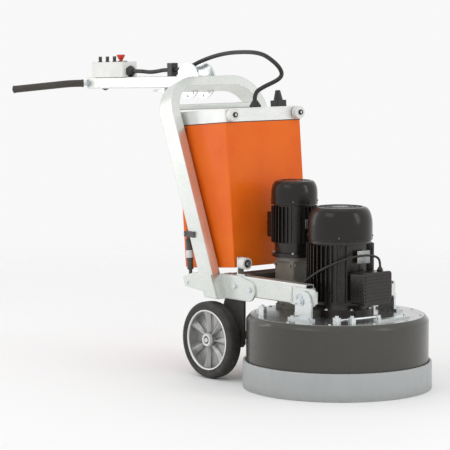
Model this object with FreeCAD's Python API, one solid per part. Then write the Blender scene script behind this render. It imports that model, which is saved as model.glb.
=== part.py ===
import FreeCAD, Part
import math
import os

V = FreeCAD.Vector
X = V(1, 0, 0)
Y = V(0, 1, 0)
Z = V(0, 0, 1)

# Walk-behind planetary concrete grinder. Millimetres, +X forward, +Y to the machine's left, +Z up.
# Places are given from the middle of the grinding head on the floor. HEAD_X then moves the whole
# machine forward, so that the origin is under the middle of its box.

HEAD_X = 728.88

# Fits
RUN = 0.05
GAP = 0.5

# Grinding head
SKIRT_R = 365.0
SKIRT_WALL = 11.0
COVER_R = 352.0
COVER_Z = 106.0
SHOULDER_Z = 259.0
PLATE_Z = 283.0
PLATE_R = 335.0
BASE_R = 347.0
BASE_T = 12.0
HUB_X = 14.0

# Planetary drive
CARRIER_R = 322.0
CARRIER_Z = 48.0
CARRIER_TOP = 98.0
TOOL_R = 115.0
ORBIT_R = 205.0
TOOL_COUNT = 3
SHAFT_R = 20.0
SATELLITE_SHAFT_R = 15.0

# Main motor, on the hub's axis
MOTOR_R = 112.0
FIN_R = 130.0
MOTOR_FLANGE_TOP = 328.0
MOTOR_TOP = 573.0
COWL_R = 124.5
COWL_TOP = 698.0
FIN_COUNT = 40

# Small motor and its gearbox, behind the main motor
SMALL_X = -250.0
SMALL_R = 78.0
SMALL_FIN_R = 91.0
GEARBOX_Z = 376.0
SMALL_FLANGE_Z = 485.0
SMALL_BODY_Z = 535.0
SMALL_BODY_TOP = 690.0
SMALL_TOP = 783.0

# Float pivot between head and chassis
PIVOT_X = 38.0
PIVOT_Z = 352.0
PIVOT_PIN_R = 12.0
BRACKET_Y = 213.5

# Wheels
WHEEL_X = -461.0
WHEEL_R = 152.0
TYRE_Y = 217.0
TYRE_W = 60.0
RIM_R = 120.5
AXLE_R = 15.0
SPOKES = 7

# Side beams
BEAM_Y = 164.0
BEAM_W = 40.0
BEAM_Z = 335.0
BEAM_H = 79.0
BEAM_REAR = -440.0
BEAM_FRONT = 45.0
TUBE_WALL = 3.0

# Leaning hoop frame, from its front lower edge
HOOP_X = -415.0
HOOP_Z = 317.0
HOOP_LEAN = 21.37
HOOP_Y = 251.0
HOOP_W = 40.0
HOOP_D = 80.0
HOOP_TOP = 925.5
HOOP_CORNER = 145.0
HOOP_FOOT = 35.0

# Cabinet, from its front lower edge, leaning back
CAB_X = -384.5
CAB_Z = 440.0
CAB_LEAN = 5.06
CAB_W = 389.0
CAB_D = 304.0
CAB_H = 572.0
BAND_H = 53.0
DOOR_T = 20.0
SHEET = 2.0

# Handle, from its pivot, drooping a little to the rear
HANDLE_X = -857.0
HANDLE_Z = 1156.0
HANDLE_DROOP = 1.95
HANDLE_L = 716.0
HANDLE_TOP = 20.3
HANDLE_BOTTOM = -27.7
HANDLE_W = 52.0
DISC_R = 73.0
DISC_Y = 38.0
DISC_T = 8.0
BOX_REAR = -664.0
BOX_FRONT = -444.0
BOX_W = 80.0
BOX_TOP = 85.3
LATCH_STEP = 15.0

# Cables
CONTROL_D = 17.0
MOTOR_CABLE_D = 9.0

# Beam plates and braces
HINGE_BOLTS = [(-363.0, 371.0), (-274.0, 364.0)]
HINGE_BOLT_R = 6.0
PLATE_T = 8.0
BEAM_OUT = BEAM_Y + BEAM_W
BRACE_TOP = (-617.0, 560.0)
BRACE_LOW = (-599.0, 367.0)
BRACE_Y = 238.0
BRACE_PIN_R = 5.0

# Rollers
LOW_ROLLER_Z = 461.0
TOP_ROLLER_Y = 172.0
TOP_ROLLER_Z = 598.0

# Cabinet fittings
GLAND = V(-26.0, -17.0, CAB_H + BAND_H)
GLAND_H = 28.0
INLET = V(-32.0, 112.0, CAB_H + BAND_H)

# Lock bar
LATCH_X = -68.0
LATCH_Z = -39.5
LATCH_TRAVEL = 12.0

# Handlebar, in the handle's own frame
BAR_R = 12.0
GRIP_R = 15.5
BAR_ROOT = V(-HANDLE_L + 6.0, 0.0, -4.0)
BAR_BEND = V(-760.0, 85.0, -4.0)
BAR_END = V(-957.0, 253.0, -25.0)
BAR_SETBACK = 30.0

# Controls
KNOB_X = (-639.0, -588.0, -538.0)
STOP_X = -492.0
LAMP_X = (-470.0, -456.0)
CONTROL_Y = -10.0
KNOB_STEM_R = 5.0
STOP_STEM_R = 8.0

# Cable clamp and vacuum port
CLAMP_REAR = -170.0
CLAMP_FRONT = -137.0
CLAMP_CABLE_Z = 47.0
CLAMP_GAP = 0.4
GLAND_TIP = -418.0
PORT_R = 30.0
PORT_Z = 210.0
LEG_IN = HOOP_Y - HOOP_W


def box(x0, x1, y0, y1, z0, z1):
    return Part.makeBox(x1 - x0, y1 - y0, z1 - z0, V(x0, y0, z0))


def cyl(r, h, base, axis=Z):
    return Part.makeCylinder(r, h, base, axis)


def ring(r_out, r_in, h, base, axis=Z):
    return cyl(r_out, h, base, axis).cut(cyl(r_in, h, base, axis))


def cone(r0, r1, h, base, axis=Z):
    return Part.makeCone(r0, r1, h, base, axis)


def fuse(shapes):
    whole = shapes[0]
    for shape in shapes[1:]:
        whole = whole.fuse(shape)
    return whole.removeSplitter()


def prism(points, push):
    wire = Part.makePolygon(points + [points[0]])
    return Part.Face(wire).extrude(push)


def side_plate(points, y0, y1):
    """Plate with an outline in X and Z, from y0 to y1."""
    return prism([V(x, y0, z) for x, z in points], V(0, y1 - y0, 0))


def other_side(shape):
    return shape.mirror(V(0, 0, 0), Y)


def both_sides(shapes):
    return shapes + [other_side(s) for s in shapes]


def round_edges(shape, r, direction):
    """Rounds the straight edges that run along a direction."""
    edges = []
    for edge in shape.Edges:
        if isinstance(edge.Curve, Part.Line):
            along = edge.tangentAt(edge.FirstParameter)
            if abs(along.dot(direction)) > 0.999:
                edges.append(edge)
    return shape.makeFillet(r, edges)


def hex_head(across, head, base, axis):
    """Hexagonal prism standing on base along axis."""
    corner = across / math.sqrt(3)
    points = []
    for i in range(6):
        angle = math.radians(60 * i)
        points.append(V(corner * math.cos(angle), corner * math.sin(angle), 0))
    shape = prism(points, V(0, 0, head))
    shape.Placement = FreeCAD.Placement(base, FreeCAD.Rotation(Z, axis))
    return shape


def hex_bolt(across, head, r, length, base, axis):
    """Bolt head standing on base along axis, with its shank the other way."""
    return hex_head(across, head, base, axis).fuse(cyl(r, length, base, V(axis).negative()))


def placed(shape, base, angle):
    """Moves a shape from its own frame to base, turned about Y."""
    moved = shape.copy()
    moved.Placement = FreeCAD.Placement(base, FreeCAD.Rotation(Y, angle)).multiply(moved.Placement)
    return moved


def on_hoop(shape):
    return placed(shape, V(HOOP_X, 0, HOOP_Z), -HOOP_LEAN)


def on_cabinet(shape):
    return placed(shape, V(CAB_X, 0, CAB_Z), -CAB_LEAN)


def on_handle(shape):
    return placed(shape, V(HANDLE_X, 0, HANDLE_Z), -HANDLE_DROOP)


def tangent_path(points, setback=None):
    """Straight runs joined by tangent arcs, as a wire and the arcs' radii."""
    edges = []
    radii = []
    here = points[0]
    for before, point, after in zip(points, points[1:], points[2:]):
        run_in = point.sub(before)
        run_out = after.sub(point)
        turn = run_in.getAngle(run_out)
        back = setback or 0.45 * min(run_in.Length, run_out.Length)
        radius = back / math.tan(turn / 2)
        start = point.sub(V(run_in).normalize().multiply(back))
        end = point.add(V(run_out).normalize().multiply(back))
        bisector = V(run_out).normalize().sub(V(run_in).normalize()).normalize()
        middle = point.add(bisector.multiply(radius / math.cos(turn / 2) - radius))
        edges.append(Part.LineSegment(here, start).toShape())
        edges.append(Part.Arc(start, middle, end).toShape())
        radii.append(round(radius))
        here = end
    edges.append(Part.LineSegment(here, points[-1]).toShape())
    return Part.Wire(edges), radii


def rod_along(path, start, toward, r):
    """Round rod of radius r swept along a wire that starts at start and heads toward another point."""
    section = Part.Wire(Part.makeCircle(r, start, toward.sub(start)))
    return path.makePipeShell([section], True, False)


def cord(points, diameter, name):
    """Tube along straight runs joined by tangent arcs."""
    path, radii = tangent_path(points)
    tube = rod_along(path, points[0], points[1], diameter / 2)
    expected = math.pi * diameter ** 2 / 4 * path.Length
    print(name, "length", round(path.Length), "radii", radii, "volume", round(tube.Volume / expected, 4))
    return tube


# ---------------------------------------------------------------- chassis

def hoop_outline(inset):
    """Closed outline of an upside-down U in Y and Z, pulled in by inset on every wall."""
    out = HOOP_Y - inset
    inner = HOOP_Y - HOOP_W + inset
    top = HOOP_TOP - inset
    low = HOOP_TOP - HOOP_W + inset
    r_out = HOOP_CORNER - inset
    r_in = HOOP_CORNER - HOOP_W + inset
    foot = -HOOP_FOOT
    c_y = HOOP_Y - HOOP_CORNER
    c_z = HOOP_TOP - HOOP_CORNER
    d = math.sqrt(0.5)

    def p(y, z):
        return V(0, y, z)

    edges = [
        Part.LineSegment(p(-out, foot), p(-out, c_z)),
        Part.Arc(p(-out, c_z), p(-c_y - r_out * d, c_z + r_out * d), p(-c_y, top)),
        Part.LineSegment(p(-c_y, top), p(c_y, top)),
        Part.Arc(p(c_y, top), p(c_y + r_out * d, c_z + r_out * d), p(out, c_z)),
        Part.LineSegment(p(out, c_z), p(out, foot)),
        Part.LineSegment(p(out, foot), p(inner, foot)),
        Part.LineSegment(p(inner, foot), p(inner, c_z)),
        Part.Arc(p(inner, c_z), p(c_y + r_in * d, c_z + r_in * d), p(c_y, low)),
        Part.LineSegment(p(c_y, low), p(-c_y, low)),
        Part.Arc(p(-c_y, low), p(-c_y - r_in * d, c_z + r_in * d), p(-inner, c_z)),
        Part.LineSegment(p(-inner, c_z), p(-inner, foot)),
        Part.LineSegment(p(-inner, foot), p(-out, foot)),
    ]
    return Part.Face(Part.Wire([e.toShape() for e in edges]))


def hoop_solid():
    return hoop_outline(0).extrude(V(-HOOP_D, 0, 0))


def frame_hoop():
    """Bent box tube with its feet cut level, and the rail across it above the cabinet."""
    hollow = hoop_outline(TUBE_WALL).extrude(V(-HOOP_D + 2 * TUBE_WALL, 0, 0))
    hollow.translate(V(-TUBE_WALL, 0, 0))
    below = box(-700, -300, -300, 300, 200, HOOP_Z)
    rail = round_edges(box(-742, -706, -LEG_IN, LEG_IN, 1046, 1068), 6, Y)
    return [on_hoop(hoop_solid().cut(hollow)).cut(below), rail.cut(on_hoop(hoop_solid()))]


def side_beam():
    outer = box(BEAM_REAR, BEAM_FRONT, BEAM_Y, BEAM_Y + BEAM_W, BEAM_Z, BEAM_Z + BEAM_H)
    outer = round_edges(outer, 5, X)
    inner = box(BEAM_REAR, BEAM_FRONT, BEAM_Y + TUBE_WALL, BEAM_Y + BEAM_W - TUBE_WALL,
                BEAM_Z + TUBE_WALL, BEAM_Z + BEAM_H - TUBE_WALL)
    beam = outer.cut(inner)
    pin_hole = cyl(PIVOT_PIN_R, BEAM_W, V(PIVOT_X, BEAM_Y, PIVOT_Z), Y)
    for x, z in HINGE_BOLTS:
        beam = beam.cut(cyl(HINGE_BOLT_R, BEAM_W, V(x, BEAM_Y, z), Y))
    return beam.cut(pin_hole)


def hinge_plate():
    """Plate bolted on the beam's outer face and welded to the foot of the leg."""
    plate = side_plate([(-452, 412), (-441, 317), (-285, 317), (-285, 400), (-330, 412)],
                       BEAM_OUT, BEAM_OUT + PLATE_T - 1)
    plate = fuse([plate, cyl(41.5, PLATE_T - 1, V(-285, BEAM_OUT, 358.5), Y)])
    for x, z in HINGE_BOLTS:
        plate = plate.cut(cyl(HINGE_BOLT_R, PLATE_T, V(x, BEAM_OUT, z), Y))
    return plate


def beam_end():
    """Fitting with a folded front edge that closes the beam's end and holds the pivot pin."""
    plate = round_edges(box(-35, 100, BEAM_OUT, BEAM_OUT + PLATE_T, 335, 402), 8, Y)
    fold = box(93, 100, BEAM_OUT - 10, BEAM_OUT, 345, 392)
    cheek = fuse([plate, fold])
    cap = box(BEAM_FRONT, BEAM_FRONT + 8, BEAM_Y, BEAM_OUT, BEAM_Z, BEAM_Z + 65)
    fitting = fuse([cheek, cap])
    return fitting.cut(cyl(PIVOT_PIN_R, BEAM_W + PLATE_T, V(PIVOT_X, BEAM_Y, PIVOT_Z), Y))


def rear_gusset():
    """Outer plate that ties the leg's foot to the brace."""
    outline = [(-416, 319), (-452, 410), (-560, 410), (-625, 388), (-612, 352),
               (-552, 346), (-478, 341), (-465, 319)]
    plate = side_plate(outline, HOOP_Y, HOOP_Y + PLATE_T)
    return plate.cut(cyl(BRACE_PIN_R, PLATE_T, V(BRACE_LOW[0], HOOP_Y, BRACE_LOW[1]), Y))


def cross_members():
    """Lower tubes and the cabinet brackets, and the deck between the beams."""
    front = box(-370, -330, -BEAM_Y, BEAM_Y, BEAM_Z, BEAM_Z + BEAM_H)
    front = front.cut(box(-367, -333, -BEAM_Y, BEAM_Y, BEAM_Z + TUBE_WALL, BEAM_Z + BEAM_H - TUBE_WALL))
    deck = box(-440, -370, -BEAM_Y, BEAM_Y, 406, 412)
    low = box(-513, -456, -LEG_IN, LEG_IN, 345, 395)
    low = low.cut(box(-510, -459, -LEG_IN, LEG_IN, 348, 392))
    side = CAB_W / 2
    brackets = both_sides([box(-590, -555, side, LEG_IN, 590, 630), box(-725, -680, side, LEG_IN, 940, 975)])
    return [front, deck, low] + brackets


def axle_set():
    """Axle across the machine, with its two bracket plates and collars."""
    upper = [(-337, BEAM_Z), (-440, BEAM_Z)]
    lower = [(-495, 200), (-495, 140), (-482, 127), (-350, 127), (-337, 140)]
    outline = upper + lower
    leg = side_plate(outline, 176, 188)
    leg = leg.cut(cyl(AXLE_R, 12, V(WHEEL_X, 176, WHEEL_R), Y))
    collar = ring(28, AXLE_R, 8, V(WHEEL_X, 188, WHEEL_R), Y)
    length = TYRE_Y + TYRE_W - 2
    axle = cyl(AXLE_R, 2 * length, V(WHEEL_X, -length, WHEEL_R), Y)
    nut = hex_head(32, 5, V(WHEEL_X, length, WHEEL_R), Y)
    return [axle] + both_sides([leg, collar, nut])


def chassis_bolts():
    """Hinge plate bolts, float pivot pins with their rings, and the brace pins."""
    bolts = []
    for x, z in HINGE_BOLTS:
        bolts.append(hex_bolt(19, 8, HINGE_BOLT_R, BEAM_W + PLATE_T - 1, V(x, BEAM_OUT + PLATE_T - 1, z), Y))
    pin = cyl(PIVOT_PIN_R, BRACKET_Y + 14 - BEAM_Y, V(PIVOT_X, BEAM_Y, PIVOT_Z), Y)
    head = ring(16, PIVOT_PIN_R, 4, V(PIVOT_X, BRACKET_Y + 10 + GAP, PIVOT_Z), Y)
    tip_y = BRACKET_Y + 14
    tip = cyl(PIVOT_PIN_R - 3, 6, V(PIVOT_X, tip_y, PIVOT_Z), Y)
    strap = box(PIVOT_X - 24, PIVOT_X, tip_y, tip_y + 5, PIVOT_Z - 5, PIVOT_Z + 5)
    pull = Part.makeTorus(13, 1.8, V(PIVOT_X - 33, tip_y + 2.5, PIVOT_Z), Y)
    bolts.append(fuse([pin, head, tip, strap, pull]))
    for x, z in (BRACE_TOP, BRACE_LOW):
        bolts.append(hex_bolt(13, 6, BRACE_PIN_R, 26, V(x, HOOP_Y + PLATE_T, z), Y))
    return both_sides(bolts)


def brace_rods():
    """Eye rods of the braces, and the lug on the leg that holds the upper eye."""
    top = V(BRACE_TOP[0], BRACE_Y, BRACE_TOP[1])
    low = V(BRACE_LOW[0], BRACE_Y, BRACE_LOW[1])
    along = top.sub(low).normalize()
    eyes = [cyl(13, 12, V(p.x, BRACE_Y - 6, p.z), Y) for p in (top, low)]
    upper = fuse([cyl(7, 70, top, along.negative()), eyes[0]])
    lower = fuse([cyl(7, 70, low, along), eyes[1]])
    upper = upper.cut(cyl(BRACE_PIN_R, 40, V(top.x, BRACE_Y - 20, top.z), Y))
    lower = lower.cut(cyl(BRACE_PIN_R, 40, V(low.x, BRACE_Y - 20, low.z), Y))
    lug = side_plate([(-560, 548), (-560, 572), (-617, 571), (-628, 560), (-617, 549)],
                     HOOP_Y, HOOP_Y + PLATE_T)
    lug = lug.cut(cyl(BRACE_PIN_R, PLATE_T, V(top.x, HOOP_Y, top.z), Y))
    return both_sides([upper, lower, lug])


def brace_sleeve():
    """Turnbuckle body that turns on the two threaded rods."""
    low = V(BRACE_LOW[0], BRACE_Y, BRACE_LOW[1])
    top = V(BRACE_TOP[0], BRACE_Y, BRACE_TOP[1])
    along = top.sub(low).normalize()
    base = low.add(V(along).multiply(50))
    length = top.sub(low).Length - 70
    sleeve = ring(12, 7 + RUN, length, base, along)
    grip = ring(14, 7 + RUN, 46, base.add(V(along).multiply(length / 2 - 23)), along)
    return [fuse([sleeve, grip])]


def roller_posts():
    """Upright plates on the beams, and the bolts of all four rollers."""
    foot = box(-362, -316, 170, 200, BEAM_Z + BEAM_H, BEAM_Z + BEAM_H + 5)
    post = box(-362, -356, 170, 200, BEAM_Z + BEAM_H, 484)
    bolt = cyl(6, 52, V(-362, 185, LOW_ROLLER_Z), X)
    head = hex_head(17, 6, V(-312.5, 185, LOW_ROLLER_Z), X)
    low = fuse([foot, post, bolt, head])
    top_bolt = cyl(6, 29, V(2, TOP_ROLLER_Y, TOP_ROLLER_Z), X)
    washer = cyl(14, 3, V(2, TOP_ROLLER_Y, TOP_ROLLER_Z), X)
    top_head = hex_head(17, 6, V(30, TOP_ROLLER_Y, TOP_ROLLER_Z), X)
    top = on_cabinet(fuse([top_bolt, washer, top_head]))
    return both_sides([low, top])


def low_roller():
    wheel = ring(23, 6 + RUN, 36, V(-352, 185, LOW_ROLLER_Z), X)
    return [wheel]


def top_roller():
    return [on_cabinet(ring(25, 6 + RUN, 22, V(6, TOP_ROLLER_Y, TOP_ROLLER_Z), X))]


# ---------------------------------------------------------------- cabinet

def cabinet_shell():
    half = CAB_W / 2
    back = -CAB_D + DOOR_T + GAP
    shell = round_edges(box(back, 0, -half, half, 0, CAB_H), 4, Z)
    inner = box(back, -SHEET, -half + SHEET, half - SHEET, SHEET, CAB_H - SHEET)
    lip = box(back, back + SHEET, -half + SHEET, half - SHEET, SHEET, CAB_H - SHEET)
    lip = lip.cut(box(back, back + SHEET, -half + 22, half - 22, 22, CAB_H - 22))
    return [on_cabinet(shell.cut(inner).fuse(lip).removeSplitter())]


def cabinet_band():
    """Hollow aluminium rail round the top, closed by a flat lid."""
    half = CAB_W / 2 + 2
    rail = round_edges(box(-CAB_D, 2, -half, half, CAB_H, CAB_H + BAND_H - 5), 6, Z)
    rail = rail.cut(box(-CAB_D + 20, -18, -half + 20, half - 20, CAB_H, CAB_H + BAND_H - 5))
    lid = round_edges(box(-CAB_D + 2, 0, -half + 2, half - 2, CAB_H + BAND_H - 5, CAB_H + BAND_H), 6, Z)
    return [on_cabinet(rail), on_cabinet(lid)]


def cabinet_door():
    half = CAB_W / 2
    outer = box(-CAB_D, -CAB_D + DOOR_T, -half, half, 3, CAB_H - 3)
    outer = round_edges(outer, 3, Z)
    inner = box(-CAB_D + SHEET, -CAB_D + DOOR_T, -half + SHEET, half - SHEET, 5, CAB_H - 5)
    door = outer.cut(inner)
    barrels = [cyl(5, 40, V(-CAB_D, half + 1, z), Z) for z in (60, CAB_H - 100)]
    door = fuse([door] + barrels)
    return [on_cabinet(door.cut(cyl(9 + GAP, 10, V(-CAB_D - 1, -half + 30, CAB_H / 2), X)))]


def door_latch():
    """Quarter-turn lock with its tongue behind the door's lip."""
    y = -CAB_W / 2 + 30
    z = CAB_H / 2
    body = cyl(9, 15, V(-CAB_D - 1, y, z), X)
    flange = cyl(13, 3, V(-CAB_D - 3 - GAP, y, z), X)
    tongue = box(-CAB_D + 6, -CAB_D + 9, y - 8, y + 8, z - 8, z + 22)
    slot = box(-CAB_D - 4, -CAB_D - 2, y - 8, y + 8, z - 1.5, z + 1.5)
    return [on_cabinet(fuse([body, flange, tongue]).cut(slot))]


def switchgear():
    """Mounting plate with the inverter drive, contactors and terminal rail."""
    half = CAB_W / 2 - 25
    plate = box(-18, -15, -half, half, 30, CAB_H - 30)
    studs = [cyl(4, 13, V(-15, y, z), X) for y in (-half + 12, half - 12) for z in (45, CAB_H - 45)]
    drive = round_edges(box(-190, -18, -130, 40, 230, 520), 8, X)
    fins = [box(-60, -18, -120 + 14 * i, -116 + 14 * i, 520, 535) for i in range(11)]
    contactors = [box(-105, -18, 60, 105, z, z + 75) for z in (250, 340, 430)]
    rail = box(-26, -18, -150, 150, 118, 153)
    terminals = [box(-75, -26, -140 + 24 * i, -119 + 24 * i, 110, 162) for i in range(11)]
    pieces = [fuse([plate] + studs), fuse([drive] + fins)] + contactors + [rail] + terminals
    return [on_cabinet(p) for p in pieces]


def cable_gland(base, axis, r, h):
    """Gland body, hexagon and domed nut."""
    lower = hex_head(2 * r * 0.92, h * 0.35, base, axis)
    up = V(axis).normalize()
    mid = base.add(V(up).multiply(h * 0.35))
    dome = cone(r, r * 0.5, h * 0.65, mid, axis)
    return lower, dome


def cabinet_glands():
    """Control cable gland, and the supply inlet with its tapered boot."""
    lower, dome = cable_gland(GLAND, Z, 22, GLAND_H)
    gland = fuse([lower, dome])
    block = box(INLET.x - 24, INLET.x + 24, INLET.y - 24, INLET.y + 24, INLET.z, INLET.z + 26)
    block = round_edges(block, 5, Z)
    boot = cone(19, 10, 40, V(INLET.x, INLET.y, INLET.z + 26), Z)
    boot = boot.cut(cyl(7, 30, V(INLET.x, INLET.y, INLET.z + 36), Z))
    return [on_cabinet(gland), on_cabinet(block.fuse(boot))]


# ---------------------------------------------------------------- handle

def quadrant_discs():
    """Two notched discs welded to the crossbar, with the pivot bolt through them."""
    hoop = on_hoop(hoop_solid())
    pieces = []
    for y0 in (-DISC_Y - DISC_T, DISC_Y):
        disc = cyl(DISC_R, DISC_T, V(0, y0, 0), Y)
        for step in range(6):
            notch = latch_slot(y0)
            notch.rotate(V(0, 0, 0), Y, LATCH_STEP * (step - 1))
            disc = disc.cut(notch)
        for angle in (-25, -52, -90):
            x = 62 * math.cos(math.radians(angle))
            z = 62 * math.sin(math.radians(angle))
            disc = disc.cut(cyl(5.5, DISC_T, V(x, y0, z), Y))
        disc = disc.cut(cyl(8, DISC_T, V(0, y0, 0), Y))
        pieces.append(on_handle(disc).cut(hoop))
    bolt = cyl(8, 2 * (DISC_Y + DISC_T), V(0, -DISC_Y - DISC_T, 0), Y)
    heads = [hex_head(24, 10, V(0, s * (DISC_Y + DISC_T), 0), V(0, s, 0)) for s in (1, -1)]
    pieces.append(on_handle(fuse([bolt] + heads)))
    return pieces


def latch_slot(y0):
    """Space that the lock bar's cross pin needs to slide into a disc."""
    slot = box(LATCH_X - 12, LATCH_X + LATCH_TRAVEL, y0, y0 + DISC_T, LATCH_Z - 5.5, LATCH_Z + 5.5)
    return slot.fuse(cyl(5.5, DISC_T, V(LATCH_X + LATCH_TRAVEL, y0, LATCH_Z), Y))


def handle_tube():
    half = HANDLE_W / 2
    middle = (HANDLE_TOP + HANDLE_BOTTOM) / 2
    r = (HANDLE_TOP - HANDLE_BOTTOM) / 2
    outer = box(-HANDLE_L, 0, -half, half, HANDLE_BOTTOM, HANDLE_TOP)
    outer = round_edges(outer, 5, X)
    nose = cyl(r, HANDLE_W, V(0, -half, middle), Y)
    outer = outer.fuse(nose).removeSplitter()
    inner = box(-HANDLE_L + 4, -34, -half + TUBE_WALL, half - TUBE_WALL,
                HANDLE_BOTTOM + TUBE_WALL, HANDLE_TOP - TUBE_WALL)
    tube = outer.cut(inner).fuse(cyl(15, 2 * DISC_Y - 1, V(0, -DISC_Y + 0.5, 0), Y))
    tube = tube.cut(cyl(8 + RUN, 2 * DISC_Y, V(0, -DISC_Y, 0), Y))
    tube = tube.cut(box(-400, -390, -8, 8, HANDLE_BOTTOM, HANDLE_BOTTOM + TUBE_WALL))
    guides = []
    for x in (-120, -190):
        guide = box(x - 10, x + 10, -24, 24, -50, HANDLE_BOTTOM)
        guides.append(guide.cut(box(x - 10, x + 10, -15.3, 15.3, -42.8, -36.2)))
    return [on_handle(fuse([tube] + guides))]


def lock_bar():
    """Sliding bar under the tube, with a cross pin that drops into the discs."""
    pin = cyl(5, 2 * (DISC_Y + DISC_T) + 6, V(LATCH_X, -DISC_Y - DISC_T - 3, LATCH_Z), Y)
    bar = box(-235, LATCH_X, -15, 15, -42.5, -36.5)
    pull = Part.makeTorus(18, 4, V(-255, 0, LATCH_Z), Z)
    return [on_handle(fuse([pin, bar, pull]))]


def bar_half(side, r, start, end):
    """One side of the bent bar, from start mm past the root to end mm short of the tip."""
    bend = V(BAR_BEND.x, side * BAR_BEND.y, BAR_BEND.z)
    tip = V(BAR_END.x, side * BAR_END.y, BAR_END.z)
    inner = bend.sub(BAR_ROOT).normalize()
    outer = tip.sub(bend).normalize()
    first = BAR_ROOT.add(inner.multiply(start))
    last = tip.sub(outer.multiply(end))
    path, radii = tangent_path([first, bend, last], BAR_SETBACK)
    return rod_along(path, first, bend, r)


def handlebar():
    """Bent bar welded into the rear end of the tube."""
    behind = box(-1100, -HANDLE_L, -400, 400, -100, 100)
    bar = fuse([bar_half(side, BAR_R, 0, 6) for side in (1, -1)]).common(behind)
    plate = box(-HANDLE_L - 5, -HANDLE_L, -24, 24, -27, 19)
    return [on_handle(fuse([bar, plate]))]


def grips():
    """Rubber sleeves with closed ends."""
    pieces = []
    for side in (1, -1):
        sleeve = bar_half(side, GRIP_R, 42, 0)
        pieces.append(on_handle(sleeve.cut(bar_half(side, BAR_R, 0, 6))))
    return pieces


def control_box():
    half = BOX_W / 2
    outer = box(BOX_REAR, BOX_FRONT, -half, half, HANDLE_TOP, BOX_TOP - 4)
    outer = round_edges(outer, 6, Z)
    inner = box(BOX_REAR + 3, BOX_FRONT - 3, -half + 3, half - 3, HANDLE_TOP + 3, BOX_TOP - 4)
    return [on_handle(outer.cut(inner))]


def control_box_lid():
    """Lid with its corner screws and two pilot lamps."""
    half = BOX_W / 2
    lid = round_edges(box(BOX_REAR, BOX_FRONT, -half, half, BOX_TOP - 4, BOX_TOP), 6, Z)
    for x in KNOB_X:
        lid = lid.cut(cyl(KNOB_STEM_R + RUN, 4, V(x, CONTROL_Y, BOX_TOP - 4), Z))
    lid = lid.cut(cyl(STOP_STEM_R + RUN, 4, V(STOP_X, CONTROL_Y, BOX_TOP - 4), Z))
    pieces = [lid]
    for x in LAMP_X:
        pieces.append(cyl(4, 5, V(x, CONTROL_Y, BOX_TOP), Z))
    for x in (BOX_REAR + 8, BOX_FRONT - 8):
        for y in (-half + 8, half - 8):
            pieces.append(cyl(3.5, 2, V(x, y, BOX_TOP), Z))
    return [on_handle(p) for p in pieces]


def knob(x):
    """Selector knob with a raised finger bar, on a stem with a retaining disc."""
    top = BOX_TOP
    skirt = cone(10, 8, 5, V(x, CONTROL_Y, top + GAP), Z)
    body = cyl(6.5, 14, V(x, CONTROL_Y, top + GAP), Z)
    bar = round_edges(box(x - 9, x + 9, CONTROL_Y - 3.5, CONTROL_Y + 3.5, top + 11, top + 24), 2, Z)
    stem = cyl(KNOB_STEM_R, 14, V(x, CONTROL_Y, top - 13), Z)
    keeper = cyl(8, 4, V(x, CONTROL_Y, top - 13), Z)
    return [on_handle(fuse([skirt, body, bar, stem, keeper]))]


def stop_button():
    """Mushroom button on its stem, clear of the lid by its stroke."""
    top = BOX_TOP
    stem = cyl(STOP_STEM_R, 34, V(STOP_X, CONTROL_Y, top - 13), Z)
    keeper = cyl(11, 4, V(STOP_X, CONTROL_Y, top - 13), Z)
    head = cone(12, 18, 12, V(STOP_X, CONTROL_Y, top + 11), Z)
    crown = cone(18, 16, 8, V(STOP_X, CONTROL_Y, top + 23), Z)
    return [on_handle(fuse([stem, keeper, head, crown]))]


def cable_fittings():
    """Box gland and the two-part cable clamp on the tube."""
    lower, dome = cable_gland(V(BOX_FRONT, 0, 44), X, 23, 26)
    gland = fuse([lower, dome])
    low = round_edges(box(CLAMP_REAR, CLAMP_FRONT, -17, 17, HANDLE_TOP, CLAMP_CABLE_Z), 3, Z)
    top = round_edges(box(CLAMP_REAR, CLAMP_FRONT, -17, 17, CLAMP_CABLE_Z, 75), 3, Z)
    hole = cyl(CONTROL_D / 2 + CLAMP_GAP, 90, V(CLAMP_REAR - 10, 0, CLAMP_CABLE_Z), X)
    return [on_handle(gland), on_handle(low.cut(hole)), on_handle(top.cut(hole))]


def handle_cable():
    """Control cable from the box gland through the clamp."""
    route = [V(GLAND_TIP, 0, 44), V(-370, 0, 44), V(-305, 0, 38), V(-250, 0, 42), V(-210, 0, 47),
             V(CLAMP_FRONT, 0, CLAMP_CABLE_Z)]
    return [on_handle(cord(route, CONTROL_D, "handle_cable"))]


def loop_route():
    """Points of the free control cable, from the clamp over the crossbar to the cabinet gland."""
    start = on_handle(Part.Vertex(CLAMP_FRONT + 1, 0, CLAMP_CABLE_Z)).Point
    top = GLAND.z + GLAND_H
    above = on_cabinet(Part.Vertex(GLAND.x, GLAND.y, top + 30)).Point
    tip = on_cabinet(Part.Vertex(GLAND.x, GLAND.y, top)).Point
    return [start, V(-919, 0, 1202), V(-868, 5, 1225), V(-807, 8, 1245), V(-729, 3, 1262), V(-639, -10, 1274),
            V(-544, -24, 1279), V(-458, -34, 1280), V(-391, -38, 1272), V(-351, -29, 1250), V(-336, -8, 1226),
            V(-343, 16, 1201), V(-372, 36, 1181), V(-410, 37, 1163), V(-447, 12, 1143), above, tip]


def control_cable_loop():
    return [cord(loop_route(), CONTROL_D, "control_cable_loop")]


# ---------------------------------------------------------------- wheels

def wheel_tyre():
    tread = cyl(WHEEL_R, TYRE_W, V(WHEEL_X, TYRE_Y, WHEEL_R), Y)
    tread = tread.makeFillet(9, [e for e in tread.Edges if isinstance(e.Curve, Part.Circle)])
    return [tread.cut(cyl(RIM_R, TYRE_W, V(WHEEL_X, TYRE_Y, WHEEL_R), Y))]


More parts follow.
